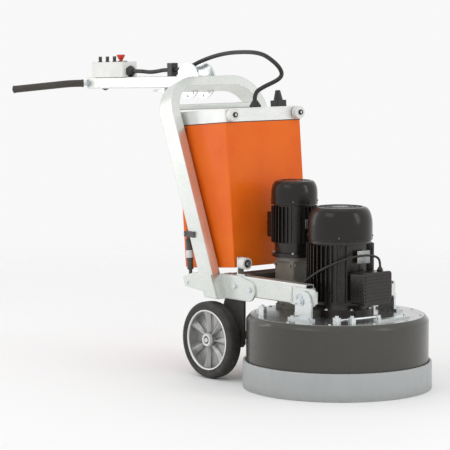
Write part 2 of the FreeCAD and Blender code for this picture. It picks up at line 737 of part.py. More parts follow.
def wheel_rim():
    """Cast rim: closed web with raised spokes that widen outwards, hub and axle bore."""
    middle = TYRE_Y + TYRE_W / 2
    shell = ring(RIM_R, RIM_R - 9, TYRE_W - 6, V(WHEEL_X, TYRE_Y + 3, WHEEL_R), Y)
    hub = cyl(30, TYRE_W - 8, V(WHEEL_X, TYRE_Y + 4, WHEEL_R), Y)
    web = cyl(RIM_R - 8, 8, V(WHEEL_X, middle - 12, WHEEL_R), Y)
    spokes = []
    for i in range(SPOKES):
        spoke = side_plate([(24, -9), (24, 9), (RIM_R - 6, 27), (RIM_R - 6, -27)], middle - 4, middle + 14)
        spoke.rotate(V(0, 0, 0), Y, 360.0 / SPOKES * i)
        spoke.translate(V(WHEEL_X, 0, WHEEL_R))
        spokes.append(spoke)
    rim = fuse([shell, hub, web] + spokes)
    return [rim.cut(cyl(AXLE_R + RUN, TYRE_W, V(WHEEL_X, TYRE_Y, WHEEL_R), Y))]


# ---------------------------------------------------------------- grinding head

def top_plate():
    profile = [V(0, 0, SHOULDER_Z), V(COVER_R, 0, SHOULDER_Z), V(COVER_R, 0, SHOULDER_Z + 4),
               V(PLATE_R + 4, 0, PLATE_Z - 3), V(PLATE_R, 0, PLATE_Z), V(0, 0, PLATE_Z)]
    plate = Part.Face(Part.makePolygon(profile + [profile[0]])).revolve(V(0, 0, 0), Z, 360)
    plate = plate.cut(cyl(26, 40, V(HUB_X, 0, SHOULDER_Z - 5), Z))
    return [plate.cut(cyl(20, 40, V(SMALL_X, 0, SHOULDER_Z - 5), Z))]


def head_cover():
    cover = ring(COVER_R, COVER_R - 4, SHOULDER_Z - COVER_Z, V(0, 0, COVER_Z), Z)
    port = V(-COVER_R - 38, 0, PORT_Z)
    collar = V(-COVER_R - 10, 0, PORT_Z)
    cover = cover.multiFuse([cyl(PORT_R, 60, port, X), cyl(PORT_R + 8, 30, collar, X)])
    cover = cover.cut(cyl(COVER_R - 4, SHOULDER_Z - COVER_Z, V(0, 0, COVER_Z), Z))
    return [cover.cut(cyl(PORT_R - 3, 80, port, X))]


def base_plate():
    plate = cyl(BASE_R, BASE_T, V(0, 0, COVER_Z), Z).cut(cyl(60, BASE_T, V(HUB_X, 0, COVER_Z), Z))
    pillars = []
    for angle in (40, 140, 220, 320):
        x = 300 * math.cos(math.radians(angle))
        y = 300 * math.sin(math.radians(angle))
        pillars.append(cyl(14, SHOULDER_Z - COVER_Z - BASE_T, V(x, y, COVER_Z + BASE_T), Z))
    return [fuse([plate] + pillars)]


def dust_skirt():
    """Floating skirt round the cover's lower part."""
    inner = SKIRT_R - SKIRT_WALL
    profile = [V(inner, 0, 0), V(SKIRT_R, 0, 0), V(SKIRT_R, 0, COVER_Z - 5), V(SKIRT_R - 5, 0, COVER_Z),
               V(inner, 0, COVER_Z)]
    return [Part.Face(Part.makePolygon(profile + [profile[0]])).revolve(V(0, 0, 0), Z, 360)]


def head_brackets():
    """Upright ears on the top plate that the float pivot pins pass through."""
    ear = box(4, 93, BRACKET_Y, BRACKET_Y + 10, PLATE_Z, PIVOT_Z)
    ear = fuse([ear, cyl(40, 10, V(PIVOT_X + 10, BRACKET_Y, PIVOT_Z), Y)])
    ear = ear.cut(cyl(PIVOT_PIN_R + RUN, 10, V(PIVOT_X, BRACKET_Y, PIVOT_Z), Y))
    foot = box(-10, 107, BRACKET_Y, BRACKET_Y + 34, PLATE_Z, PLATE_Z + 8)
    foot = foot.fuse(hex_head(13, 6, V(5, BRACKET_Y + 24, PLATE_Z + 8), Z))
    foot = foot.fuse(hex_head(13, 6, V(92, BRACKET_Y + 24, PLATE_Z + 8), Z))
    return both_sides([fuse([ear, foot])])


def fins(r_in, r_out, z0, z1, x, count, thickness):
    blade = box(r_in - 3, r_out, -thickness / 2, thickness / 2, z0, z1)
    blades = []
    for i in range(count):
        fin = blade.copy()
        fin.rotate(V(0, 0, 0), Z, 360.0 / count * (i + 0.5))
        fin.translate(V(x, 0, 0))
        blades.append(fin)
    return blades


def main_motor():
    """Flange, finned housing and end shield, bored for the rotor."""
    flange = cyl(FIN_R, 28, V(HUB_X, 0, PLATE_Z), Z)
    neck = cone(FIN_R - 12, MOTOR_R, MOTOR_FLANGE_TOP - PLATE_Z - 28, V(HUB_X, 0, PLATE_Z + 28), Z)
    body = cyl(MOTOR_R, MOTOR_TOP - MOTOR_FLANGE_TOP, V(HUB_X, 0, MOTOR_FLANGE_TOP), Z)
    shield = cyl(MOTOR_R + 8, 12, V(HUB_X, 0, MOTOR_TOP - 12), Z)
    pad = box(HUB_X + 80, 144, -45, 45, 350, 450)
    blades = fins(MOTOR_R, FIN_R, MOTOR_FLANGE_TOP + 12, MOTOR_TOP - 16, HUB_X, FIN_COUNT, 3.2)
    blades = [b for b in blades if not touches(b, pad)]
    housing = flange.multiFuse([neck, body, shield, pad] + blades)
    bore = cyl(60, MOTOR_TOP - 30 - MOTOR_FLANGE_TOP, V(HUB_X, 0, MOTOR_FLANGE_TOP), Z)
    shaft = cyl(SHAFT_R + RUN, MOTOR_TOP - PLATE_Z, V(HUB_X, 0, PLATE_Z), Z)
    return [housing.cut(bore).cut(shaft)]


def touches(a, b):
    return a.common(b).Volume > 1


def dome(x, r, z0, z1, r_disc, shoulder):
    """Solid of revolution with a long soft shoulder under a flat top disc."""
    low = V(r, 0, z1 - shoulder)
    middle = V(r_disc + 0.72 * (r - r_disc), 0, z1 - 0.3 * shoulder)
    high = V(r_disc, 0, z1)
    edges = [Part.makeLine(V(0, 0, z0), V(r, 0, z0)), Part.makeLine(V(r, 0, z0), low),
             Part.Arc(low, middle, high).toShape(), Part.makeLine(high, V(0, 0, z1)),
             Part.makeLine(V(0, 0, z1), V(0, 0, z0))]
    solid = Part.Face(Part.Wire(edges)).revolve(V(0, 0, 0), Z, 360)
    solid.translate(V(x, 0, 0))
    return solid


def motor_cowl(x, r, z0, z1, r_disc, thickness):
    """Fan cowl with a rounded shoulder and radial air slots."""
    shoulder = 0.56 * (z1 - z0)
    outer = dome(x, r, z0, z1, r_disc, shoulder)
    cowl = outer.cut(dome(x, r - thickness, z0, z1 - thickness, r_disc - thickness, shoulder))
    slots = []
    count = 24
    for i in range(count):
        slot = box(r_disc * 0.35, r_disc * 0.92, -2.5, 2.5, z1 - thickness - 1, z1 + 1)
        slot.rotate(V(0, 0, 0), Z, 360.0 / count * i)
        slot.translate(V(x, 0, 0))
        slots.append(slot)
    return [cowl.cut(Part.makeCompound(slots))]


def main_motor_cowl():
    return motor_cowl(HUB_X, COWL_R, MOTOR_TOP, COWL_TOP, 90, 2.5)


def small_motor_cowl():
    return motor_cowl(SMALL_X, SMALL_FIN_R, SMALL_BODY_TOP, SMALL_TOP, 66, 2)


def main_terminal_box():
    """Cast box on the motor's front, with a ribbed lid and its cable gland."""
    case = round_edges(box(144, 212, -67, 71, 340, 460), 10, X)
    case = case.cut(box(150, 212, -59, 63, 348, 452))
    lid = round_edges(box(212, 221, -70, 74, 337, 463), 12, X)
    ribs = [box(221, 224.5, -62, 66, z, z + 5) for z in range(352, 450, 13)]
    lower, dome = cable_gland(V(190, 43, 460), Z, 12, 18)
    return [case, lid.multiFuse(ribs), fuse([lower, dome])]


def small_motor():
    """Flange, finned housing and the terminal box at the rear."""
    flange = cyl(SMALL_FIN_R - 4, 14, V(SMALL_X, 0, SMALL_FLANGE_Z), Z)
    neck = cone(SMALL_FIN_R - 16, SMALL_R, SMALL_BODY_Z - SMALL_FLANGE_Z - 14,
                V(SMALL_X, 0, SMALL_FLANGE_Z + 14), Z)
    body = cyl(SMALL_R, SMALL_BODY_TOP - SMALL_BODY_Z, V(SMALL_X, 0, SMALL_BODY_Z), Z)
    pad = box(SMALL_X - 106, SMALL_X - 60, -48, 48, 555, 655)
    pad = round_edges(pad, 8, X)
    blades = fins(SMALL_R, SMALL_FIN_R, SMALL_BODY_Z + 6, SMALL_BODY_TOP - 6, SMALL_X, 32, 3)
    blades = [b for b in blades if not touches(b, pad)]
    housing = flange.multiFuse([neck, body, pad] + blades)
    bore = cyl(44, SMALL_BODY_TOP - SMALL_BODY_Z - 24, V(SMALL_X, 0, SMALL_BODY_Z), Z)
    shaft = cyl(14 + RUN, SMALL_BODY_TOP - SMALL_FLANGE_Z, V(SMALL_X, 0, SMALL_FLANGE_Z), Z)
    return [housing.cut(bore).cut(shaft)]


def gearbox():
    """Cast gearbox under the small motor, on a round pedestal."""
    case = round_edges(box(SMALL_X - 56, SMALL_X + 56, -58, 58, GEARBOX_Z, 470), 14, Z)
    rim = cyl(74, 15, V(SMALL_X, 0, SMALL_FLANGE_Z - 15), Z)
    pedestal = cyl(58, GEARBOX_Z - PLATE_Z, V(SMALL_X, 0, PLATE_Z), Z)
    foot = cyl(72, 12, V(SMALL_X, 0, PLATE_Z), Z)
    bolts = []
    for i in range(6):
        angle = math.radians(60 * i + 30)
        base = V(SMALL_X + 64 * math.cos(angle), 64 * math.sin(angle), PLATE_Z + 12)
        bolts.append(hex_head(10, 6, base, Z))
    for z in (392, 454):
        for y in (-44, 44):
            bolts.append(hex_head(10, 6, V(SMALL_X + 56, y, z), X))
        for x in (-42, 42):
            bolts.append(hex_head(10, 6, V(SMALL_X + x, -58, z), V(0, -1, 0)))
    body = case.multiFuse([rim, pedestal, foot] + bolts)
    lower = cyl(14 + RUN, 120, V(SMALL_X, 0, PLATE_Z), Z)
    wider = cyl(30, 60, V(SMALL_X, 0, 400), Z)
    upper = cyl(16, 30, V(SMALL_X, 0, 457), Z)
    return [body.cut(lower).cut(wider).cut(upper)]


def tie_linkage():
    """Toggle blocks, tie rod and flat strap on the top plate, and the motor cable's lower gland."""
    pieces = []
    for x, y in ((222, -209), (258, -166), (-185, -222), (-150, -250)):
        block = round_edges(box(x - 13, x + 13, y - 10, y + 10, PLATE_Z, PLATE_Z + 26), 3, Z)
        pieces.append(block.fuse(hex_head(13, 7, V(x, y, PLATE_Z + 26), Z)))
    start = V(224, -198, PLATE_Z + 14)
    end = V(243, -20, PLATE_Z + 14)
    run = end.sub(start)
    eye = cyl(12, 14, V(243, -20, PLATE_Z + 7), Z)
    pieces.append(fuse([cyl(5, run.Length, start, run), eye]))
    strap = round_edges(box(-95, 95, -12, 12, 0, 8), 8, Z)
    strap = strap.multiFuse([hex_head(13, 6, V(x, 0, 8), Z) for x in (-78, 78)])
    strap.Placement = FreeCAD.Placement(V(262, 40, PLATE_Z), FreeCAD.Rotation(Z, 97))
    pieces.append(strap)
    lower, dome = cable_gland(V(-75, -140, PLATE_Z), Z, 12, 18)
    pieces.append(fuse([lower, dome]))
    return pieces


def motor_cable():
    route = [V(-75, -140, PLATE_Z + 18), V(-75, -140, 345), V(-52, -145, 392), V(-2, -147, 432),
             V(58, -138, 468), V(110, -110, 497), V(150, -64, 518), V(174, -14, 525), V(187, 24, 519),
             V(190, 43, 503), V(190, 43, 478)]
    return [cord(route, MOTOR_CABLE_D, "motor_cable")]


def main_rotor():
    """Shaft with rotor core, fan and the sun pulley inside the carrier."""
    shaft = cyl(SHAFT_R, 620 - 58, V(HUB_X, 0, 58), Z)
    core = cyl(59, 180, V(HUB_X, 0, 345), Z)
    pulley = ring(60, SHAFT_R, 20, V(HUB_X, 0, 62), Z)
    fan_disc = cyl(95, 4, V(HUB_X, 0, 590), Z)
    blades = []
    for i in range(8):
        blade = box(30, 104, -1.5, 1.5, 590, 625)
        blade.rotate(V(0, 0, 0), Z, 45 * i)
        blade.translate(V(HUB_X, 0, 0))
        blades.append(blade)
    return [shaft.multiFuse([core, pulley, fan_disc] + blades)]


def small_rotor():
    shaft = cyl(14, 745 - 462, V(SMALL_X, 0, 462), Z)
    core = cyl(43, 110, V(SMALL_X, 0, 545), Z)
    fan_disc = cyl(60, 3, V(SMALL_X, 0, 705), Z)
    blades = []
    for i in range(6):
        blade = box(18, 76, -1.2, 1.2, 705, 730)
        blade.rotate(V(0, 0, 0), Z, 60 * i)
        blade.translate(V(SMALL_X, 0, 0))
        blades.append(blade)
    return [shaft.multiFuse([core, fan_disc] + blades)]


def drive_pulley():
    """Gearbox output shaft with the pulley that drives the carrier."""
    shaft = cyl(14, 296, V(SMALL_X, 0, 140), Z)
    gear = cyl(28, 20, V(SMALL_X, 0, 416), Z)
    pulley = cyl(45, 25, V(SMALL_X, 0, 150), Z)
    groove = ring(46, 41, 15, V(SMALL_X, 0, 155), Z)
    return [fuse([shaft, gear, pulley]).cut(groove)]


def planet_carrier():
    """Drum that carries the satellites, with its hub and belt wheel above the base plate."""
    height = CARRIER_TOP - CARRIER_Z
    drum = cyl(CARRIER_R, height, V(HUB_X, 0, CARRIER_Z), Z)
    drum = drum.cut(cyl(CARRIER_R - 8, height - 20, V(HUB_X, 0, CARRIER_Z + 10), Z))
    hub = cyl(50, 80, V(HUB_X, 0, CARRIER_TOP), Z)
    wheel = cyl(140, 25, V(HUB_X, 0, 150), Z).cut(ring(141, 135, 15, V(HUB_X, 0, 155), Z))
    carrier = fuse([drum, hub, wheel])
    carrier = carrier.cut(cyl(SHAFT_R + RUN, 200, V(HUB_X, 0, CARRIER_TOP - 10), Z))
    for x, y in orbit():
        carrier = carrier.cut(cyl(SATELLITE_SHAFT_R + RUN, height, V(x, y, CARRIER_Z), Z))
    return [carrier]


def orbit():
    places = []
    for i in range(TOOL_COUNT):
        angle = math.radians(360.0 / TOOL_COUNT * i)
        places.append((HUB_X + ORBIT_R * math.cos(angle), ORBIT_R * math.sin(angle)))
    return places


def satellite(x, y):
    """Tool disc with its segments, coupling, shaft and belt pulley."""
    shaft = cyl(SATELLITE_SHAFT_R, 83, V(x, y, 20), Z)
    pulley = ring(60, SATELLITE_SHAFT_R, 18, V(x, y, 63), Z)
    coupling = cyl(46, 24, V(x, y, 20), Z)
    disc = cyl(TOOL_R, 10, V(x, y, 10), Z)
    segments = []
    for i in range(9):
        block = round_edges(box(84, 110, -8, 8, 0, 10), 3, Z)
        block.rotate(V(0, 0, 0), Z, 40 * i)
        block.translate(V(x, y, 0))
        segments.append(block)
    return [shaft.multiFuse([pulley, coupling, disc] + segments)]


# ---------------------------------------------------------------- all nodes

def build():
    nodes = {
        "frame_hoop": frame_hoop(),
        "side_beam_left": [side_beam()],
        "side_beam_right": [other_side(side_beam())],
        "cross_members": cross_members(),
        "beam_plates": both_sides([hinge_plate(), beam_end()]),
        "rear_gussets": both_sides([rear_gusset()]),
        "axle_set": axle_set(),
        "chassis_bolts": chassis_bolts(),
        "brace_rods": brace_rods(),
        "roller_posts": roller_posts(),
        "cabinet_shell": cabinet_shell(),
        "cabinet_band": cabinet_band(),
        "switchgear": switchgear(),
        "cabinet_glands": cabinet_glands(),
        "quadrant_discs": quadrant_discs(),
        "control_cable_loop": control_cable_loop(),
        "cabinet_door": cabinet_door(),
        "door_latch": door_latch(),
        "handle_tube": handle_tube(),
        "lock_bar": lock_bar(),
        "handlebar": handlebar(),
        "grips": grips(),
        "control_box": control_box(),
        "control_box_lid": control_box_lid(),
        "cable_fittings": cable_fittings(),
        "handle_cable": handle_cable(),
        "stop_button": stop_button(),
        "top_plate": top_plate(),
        "head_cover": head_cover(),
        "base_plate": base_plate(),
        "dust_skirt": dust_skirt(),
        "head_brackets": head_brackets(),
        "main_motor": main_motor(),
        "main_motor_cowl": main_motor_cowl(),
        "main_terminal_box": main_terminal_box(),
        "small_motor": small_motor(),
        "small_motor_cowl": small_motor_cowl(),
        "gearbox": gearbox(),
        "tie_linkage": tie_linkage(),
        "motor_cable": motor_cable(),
        "main_rotor": main_rotor(),
        "small_rotor": small_rotor(),
        "drive_pulley": drive_pulley(),
        "planet_carrier": planet_carrier(),
    }
    for name, x in zip(("left", "middle", "right"), KNOB_X):
        nodes["selector_knob_" + name] = knob(x)
    for i, (x, y) in enumerate(orbit()):
        nodes["satellite_" + str(i + 1)] = satellite(x, y)
    paired = {
        "low_roller": low_roller(),
        "top_roller": top_roller(),
        "brace_sleeve": brace_sleeve(),
        "wheel_tyre": wheel_tyre(),
        "wheel_rim": wheel_rim(),
    }
    for name, solids in paired.items():
        nodes[name + "_left"] = solids
        nodes[name + "_right"] = [other_side(s) for s in solids]
    return nodes


def main():
    os.makedirs("parts", exist_ok=True)
    whole = FreeCAD.BoundBox()
    for name, solids in build().items():
        shape = Part.makeCompound([s for piece in solids for s in piece.Solids])
        shape.translate(V(HEAD_X, 0, 0))
        for solid in shape.Solids:
            if not solid.isValid() or solid.Volume <= 0:
                print("bad solid in", name)
        whole.add(shape.BoundBox)
        shape.exportStep("parts/" + name + ".step")
        print(name, len(shape.Solids), round(shape.Volume / 1000), "cm3")
    print("box", whole)


main()
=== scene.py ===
import math

import bmesh
import bpy
from mathutils import Matrix, Vector


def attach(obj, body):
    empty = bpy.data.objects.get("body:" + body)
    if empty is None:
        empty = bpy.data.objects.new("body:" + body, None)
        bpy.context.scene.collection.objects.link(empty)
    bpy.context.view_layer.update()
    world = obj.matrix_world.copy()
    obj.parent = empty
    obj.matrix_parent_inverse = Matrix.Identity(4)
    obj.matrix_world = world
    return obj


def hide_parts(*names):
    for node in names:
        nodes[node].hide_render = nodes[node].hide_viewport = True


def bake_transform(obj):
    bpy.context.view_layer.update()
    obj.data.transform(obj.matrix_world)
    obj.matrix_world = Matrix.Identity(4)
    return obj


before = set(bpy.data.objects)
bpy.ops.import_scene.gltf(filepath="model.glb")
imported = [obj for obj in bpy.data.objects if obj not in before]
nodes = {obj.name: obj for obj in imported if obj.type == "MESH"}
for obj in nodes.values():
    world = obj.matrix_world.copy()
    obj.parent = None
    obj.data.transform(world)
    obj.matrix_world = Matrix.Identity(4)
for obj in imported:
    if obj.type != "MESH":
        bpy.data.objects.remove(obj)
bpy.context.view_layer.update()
scene = bpy.context.scene

MM = 0.001
HEAD_X = 728.88
SMALL_X = -250.0
HUB_X = 14.0
WHEEL_X, WHEEL_Z = -461.0, 152.0
CAB_D, CAB_W, CAB_H, BAND_H = 304.0, 389.0, 572.0, 53.0
HANDLE_L = 716.0
BOX_REAR, BOX_TOP = -664.0, 85.3
CONTROL_D, MOTOR_CABLE_D = 17.0, 9.0


# ---------------------------------------------------------------- places

def mm(x, y, z):
    """A point given in millimetres from the head's centre on the floor, in the row frame."""
    return Vector((x + HEAD_X, y, z)) * MM


def tilted(x, z, degrees):
    """Local frame in metres at (x, z), turned about Y, as the handle, cabinet and hoop are."""
    return Matrix.Translation(mm(x, 0, z)) @ Matrix.Rotation(math.radians(degrees), 4, "Y")


UPRIGHT = Matrix.Translation(mm(0, 0, 0))
HANDLE = tilted(-857.0, 1156.0, -1.95)
CABINET = tilted(-384.5, 440.0, -5.06)


def spot(place, x, y, z):
    """A local point in millimetres as a point in the row frame."""
    return place @ (Vector((x, y, z)) * MM)


def axis_frame(place, x, y, z, direction):
    """Frame at a local point with its Z along a local direction."""
    turn = Vector(direction).to_track_quat("Z", "Y").to_matrix().to_4x4()
    return place @ Matrix.Translation(Vector((x, y, z)) * MM) @ turn


# ---------------------------------------------------------------- materials

class Finish:
    """A principled material built from object-space noise, bump and edge wear."""

    def __init__(self, name):
        self.material = bpy.data.materials.new(name)
        self.material.use_nodes = True
        self.tree = self.material.node_tree
        self.shader = self.tree.nodes["Principled BSDF"]
        self.coords = self.tree.nodes.new("ShaderNodeTexCoord").outputs["Object"]
        self.heights = []

    def node(self, kind, **settings):
        made = self.tree.nodes.new("ShaderNode" + kind)
        for name, value in settings.items():
            if hasattr(made, name):
                setattr(made, name, value)
            else:
                made.inputs[name.replace("_", " ")].default_value = value
        return made

    def link(self, output, socket):
        self.tree.links.new(output, socket)

    def stretched(self, scale):
        mapping = self.node("Mapping")
        mapping.inputs["Scale"].default_value = scale
        self.link(self.coords, mapping.inputs["Vector"])
        return mapping.outputs["Vector"]

    def noise(self, scale, detail=4.0, roughness=0.55, stretch=(1, 1, 1)):
        made = self.node("TexNoise", Scale=scale, Detail=detail, Roughness=roughness)
        self.link(self.stretched(stretch), made.inputs["Vector"])
        return made.outputs["Fac"]

    def spread(self, value, low, high, start=0.3, end=0.7):
        made = self.node("MapRange")
        made.inputs["From Min"].default_value = start
        made.inputs["From Max"].default_value = end
        made.inputs["To Min"].default_value = low
        made.inputs["To Max"].default_value = high
        self.link(value, made.inputs["Value"])
        return made.outputs["Result"]

    def mix(self, factor, a, b):
        """Colour a where factor is 0 and b where it is 1; a and b are colours or outputs."""
        made = self.node("Mix", data_type="RGBA")
        self.link(factor, made.inputs["Factor"])
        for value, socket in ((a, made.inputs[6]), (b, made.inputs[7])):
            if isinstance(value, tuple):
                socket.default_value = (*value, 1.0)
            else:
                self.link(value, socket)
        return made.outputs[2]

    def edges(self, radius):
        """Mask that rises along outer and inner edges, from how far the bevelled normal turns."""
        bevel = self.node("Bevel", samples=4, Radius=radius)
        geometry = self.node("NewGeometry")
        dot = self.node("VectorMath", operation="DOT_PRODUCT")
        self.link(bevel.outputs["Normal"], dot.inputs[0])
        self.link(geometry.outputs["Normal"], dot.inputs[1])
        turned = self.node("MapRange")
        turned.inputs["From Min"].default_value = 0.995
        turned.inputs["From Max"].default_value = 0.9
        self.link(dot.outputs["Value"], turned.inputs["Value"])
        return turned.outputs["Result"]

    def times(self, a, b):
        made = self.node("Math", operation="MULTIPLY")
        self.link(a, made.inputs[0])
        self.link(b, made.inputs[1])
        return made.outputs["Value"]

    def bump(self, value, distance, strength=1.0):
        self.heights.append((value, distance, strength))

    def finish(self, colour, rough, metallic=0.0, edge_radius=0.0012, coat=0.0, coat_rough=0.1,
               specular=0.5):
        """Connects colour, roughness and all bumps over a slightly rounded normal."""
        for value, socket in ((colour, "Base Color"), (rough, "Roughness")):
            if isinstance(value, tuple):
                self.shader.inputs[socket].default_value = (*value, 1.0)
            elif isinstance(value, float):
                self.shader.inputs[socket].default_value = value
            else:
                self.link(value, self.shader.inputs[socket])
        self.shader.inputs["Metallic"].default_value = metallic
        self.shader.inputs["Coat Weight"].default_value = coat
        self.shader.inputs["Coat Roughness"].default_value = coat_rough
        self.shader.inputs["Specular IOR Level"].default_value = specular
        normal = None
        if edge_radius:
            normal = self.node("Bevel", samples=4, Radius=edge_radius).outputs["Normal"]
        for value, distance, strength in self.heights:
            bump = self.node("Bump", Strength=strength, Distance=distance)
            self.link(value, bump.inputs["Height"])
            if normal:
                self.link(normal, bump.inputs["Normal"])
            normal = bump.outputs["Normal"]
        if normal:
            self.link(normal, self.shader.inputs["Normal"])
        return self.material


def painted(name, colour, dark, wear, rough=0.35, peel=0.00006, coat=0.0, specular=0.5, wear_amount=0.55):
    """Powder coat: soft colour drift, orange peel, scuffs, and paint worn thin along the edges."""
    f = Finish(name)
    drift = f.spread(f.noise(3.5, 3.0), 0.0, 1.0)
    base = f.mix(drift, colour, dark)
    scuffs = f.spread(f.noise(60.0, 6.0, 0.7, (1, 1, 0.35)), 0.0, 0.22, 0.66, 0.84)
    base = f.mix(scuffs, base, wear)
    chips = f.times(f.edges(0.0025), f.spread(f.noise(90.0, 5.0, 0.7), 0.0, wear_amount, 0.45, 0.62))
    base = f.mix(chips, base, wear)
    f.bump(f.noise(420.0, 2.0), peel, 0.6)
    f.bump(f.noise(14.0, 2.0), 0.0006, 0.12)
    roughness = f.spread(f.noise(8.0, 5.0), rough - 0.06, rough + 0.1)
    return f.finish(base, roughness, coat=coat, specular=specular)


def galvanised(name):
    """Bright zinc on the frame: soft cloudy shade, fine spangle and faint runs."""
    f = Finish(name)
    cloud = f.spread(f.noise(5.0, 5.0, 0.6), 0.0, 1.0)
    base = f.mix(cloud, (0.70, 0.73, 0.69), (0.78, 0.80, 0.77))
    spangle = f.spread(f.noise(85.0, 2.0, 0.4), 0.0, 0.3, 0.35, 0.65)
    base = f.mix(spangle, base, (0.62, 0.645, 0.625))
    dull = f.times(f.edges(0.003), f.spread(f.noise(50.0, 4.0), 0.2, 0.7))
    base = f.mix(dull, base, (0.50, 0.51, 0.48))
    f.bump(f.noise(30.0, 4.0), 0.0004, 0.15)
    f.bump(f.noise(320.0, 3.0), 0.00005, 0.35)
    return f.finish(base, f.spread(f.noise(14.0, 5.0), 0.26, 0.4), metallic=0.82, edge_radius=0.004)


def brushed(name, colour, rough, stretch, metallic=0.9, depth=0.00012):
    """Drawn or brushed metal, its grain along the stretched axis."""
    f = Finish(name)
    grain = f.noise(900.0, 3.0, 0.6, stretch)
    light = tuple(min(1.0, c * 1.12) for c in colour)
    dark = tuple(c * 0.86 for c in colour)
    base = f.mix(f.spread(grain, 0.0, 1.0, 0.3, 0.7), dark, light)
    stain = f.spread(f.noise(7.0, 5.0, 0.6), 0.0, 0.35)
    base = f.mix(stain, base, tuple(c * 0.8 for c in colour))
    f.bump(grain, depth, 0.35)
    return f.finish(base, f.spread(f.noise(11.0, 4.0), rough - 0.05, rough + 0.1), metallic=metallic,
                    edge_radius=0.0015)


def plated(name, colour, rough):
    """Zinc-plated fastener with faint blue and yellow passivation."""
    f = Finish(name)
    hue = f.spread(f.noise(30.0, 2.0), 0.0, 1.0)
    base = f.mix(hue, colour, (colour[0] * 0.92, colour[1] * 0.97, min(1.0, colour[2] * 1.06)))
    f.bump(f.noise(600.0, 2.0), 0.00004, 0.5)
    roughness = f.spread(f.noise(50.0, 4.0), rough, rough + 0.14)
    return f.finish(base, roughness, metallic=0.95, edge_radius=0.0008)


def cast(name, colour, wear, rough, grain=0.00018, coat=0.0, specular=0.5, wear_amount=0.4):
    """Sand-cast metal under paint: grainy skin, random darker drift, brighter edges."""
    f = Finish(name)
    drift = f.spread(f.noise(9.0, 4.0), 0.0, 1.0)
    base = f.mix(drift, colour, tuple(c * 0.72 for c in colour))
    rubbed = f.times(f.edges(0.002), f.spread(f.noise(70.0, 4.0), 0.1, wear_amount, 0.4, 0.65))
    base = f.mix(rubbed, base, wear)
    f.bump(f.noise(380.0, 4.0, 0.65), grain, 0.6)
    roughness = f.spread(f.noise(25.0, 5.0), rough - 0.05, rough + 0.12)
    return f.finish(base, roughness, coat=coat, coat_rough=0.25, specular=specular, edge_radius=0.0012)


def moulded(name, colour, rough, grain=0.00005, specular=0.5, metallic=0.0):
    """Moulded plastic with a fine spark-eroded texture and slight shade changes."""
    f = Finish(name)
    drift = f.spread(f.noise(14.0, 4.0), 0.0, 1.0)
    base = f.mix(drift, colour, tuple(c * 0.86 for c in colour))
    f.bump(f.noise(900.0, 2.0), grain, 0.6)
    return f.finish(base, f.spread(f.noise(30.0, 4.0), rough - 0.05, rough + 0.1), specular=specular,
                    metallic=metallic, edge_radius=0.0008)


def rubber(name, colour, dusty, rough, dust=0.45):
    """Rubber with bloom and floor dust in its texture."""
    f = Finish(name)
    settled = f.spread(f.noise(22.0, 6.0, 0.65), 0.0, dust, 0.4, 0.8)
    base = f.mix(settled, colour, dusty)
    f.bump(f.noise(260.0, 4.0), 0.0002, 0.35)
    return f.finish(base, f.spread(f.noise(40.0, 4.0), rough - 0.08, rough + 0.1), specular=0.35,
                    edge_radius=0.001)


def skirt_finish():
    """Pale flexible skirt: faint upright wrinkles and scuffs where it brushes the floor."""
    f = Finish("skirt_finish")
    streak = f.noise(26.0, 4.0, 0.6, (1, 1, 0.25))
    base = f.mix(f.spread(streak, 0.0, 1.0), (0.375, 0.39, 0.39), (0.40, 0.415, 0.415))
    height = f.node("SeparateXYZ")
    f.link(f.coords, height.inputs["Vector"])
    low = f.spread(height.outputs["Z"], 0.45, 0.0, 0.0, 0.03)
    scuff = f.times(low, f.spread(f.noise(45.0, 5.0, 0.7), 0.2, 1.0, 0.4, 0.6))
    base = f.mix(scuff, base, (0.27, 0.27, 0.26))
    f.bump(f.noise(7.0, 3.0), 0.002, 0.12)
    f.bump(f.noise(240.0, 4.0), 0.00015, 0.4)
    return f.finish(base, f.spread(f.noise(20.0, 5.0), 0.42, 0.6), specular=0.4, edge_radius=0.002)


def turned_plate():
    """Top plate: face-turned sheet, rings of grain about the head's centre, semi-gloss."""
    f = Finish("turned_plate")
    offset = f.node("Mapping")
    offset.inputs["Location"].default_value = (-HEAD_X * MM, 0, 0)
    f.link(f.coords, offset.inputs["Vector"])
    flat = f.node("Mapping")
    flat.inputs["Scale"].default_value = (1, 1, 0)
    f.link(offset.outputs["Vector"], flat.inputs["Vector"])
    radius = f.node("VectorMath", operation="LENGTH")
    f.link(flat.outputs["Vector"], radius.inputs[0])
    rings = f.node("TexNoise", noise_dimensions="1D", Scale=900.0, Detail=3.0)
    f.link(radius.outputs["Value"], rings.inputs["W"])
    base = f.mix(f.spread(rings.outputs["Fac"], 0.0, 1.0), (0.34, 0.35, 0.34), (0.46, 0.47, 0.46))
    f.bump(rings.outputs["Fac"], 0.00005, 0.3)
    return f.finish(base, f.spread(f.noise(9.0, 5.0), 0.14, 0.24), metallic=0.85, edge_radius=0.0015)


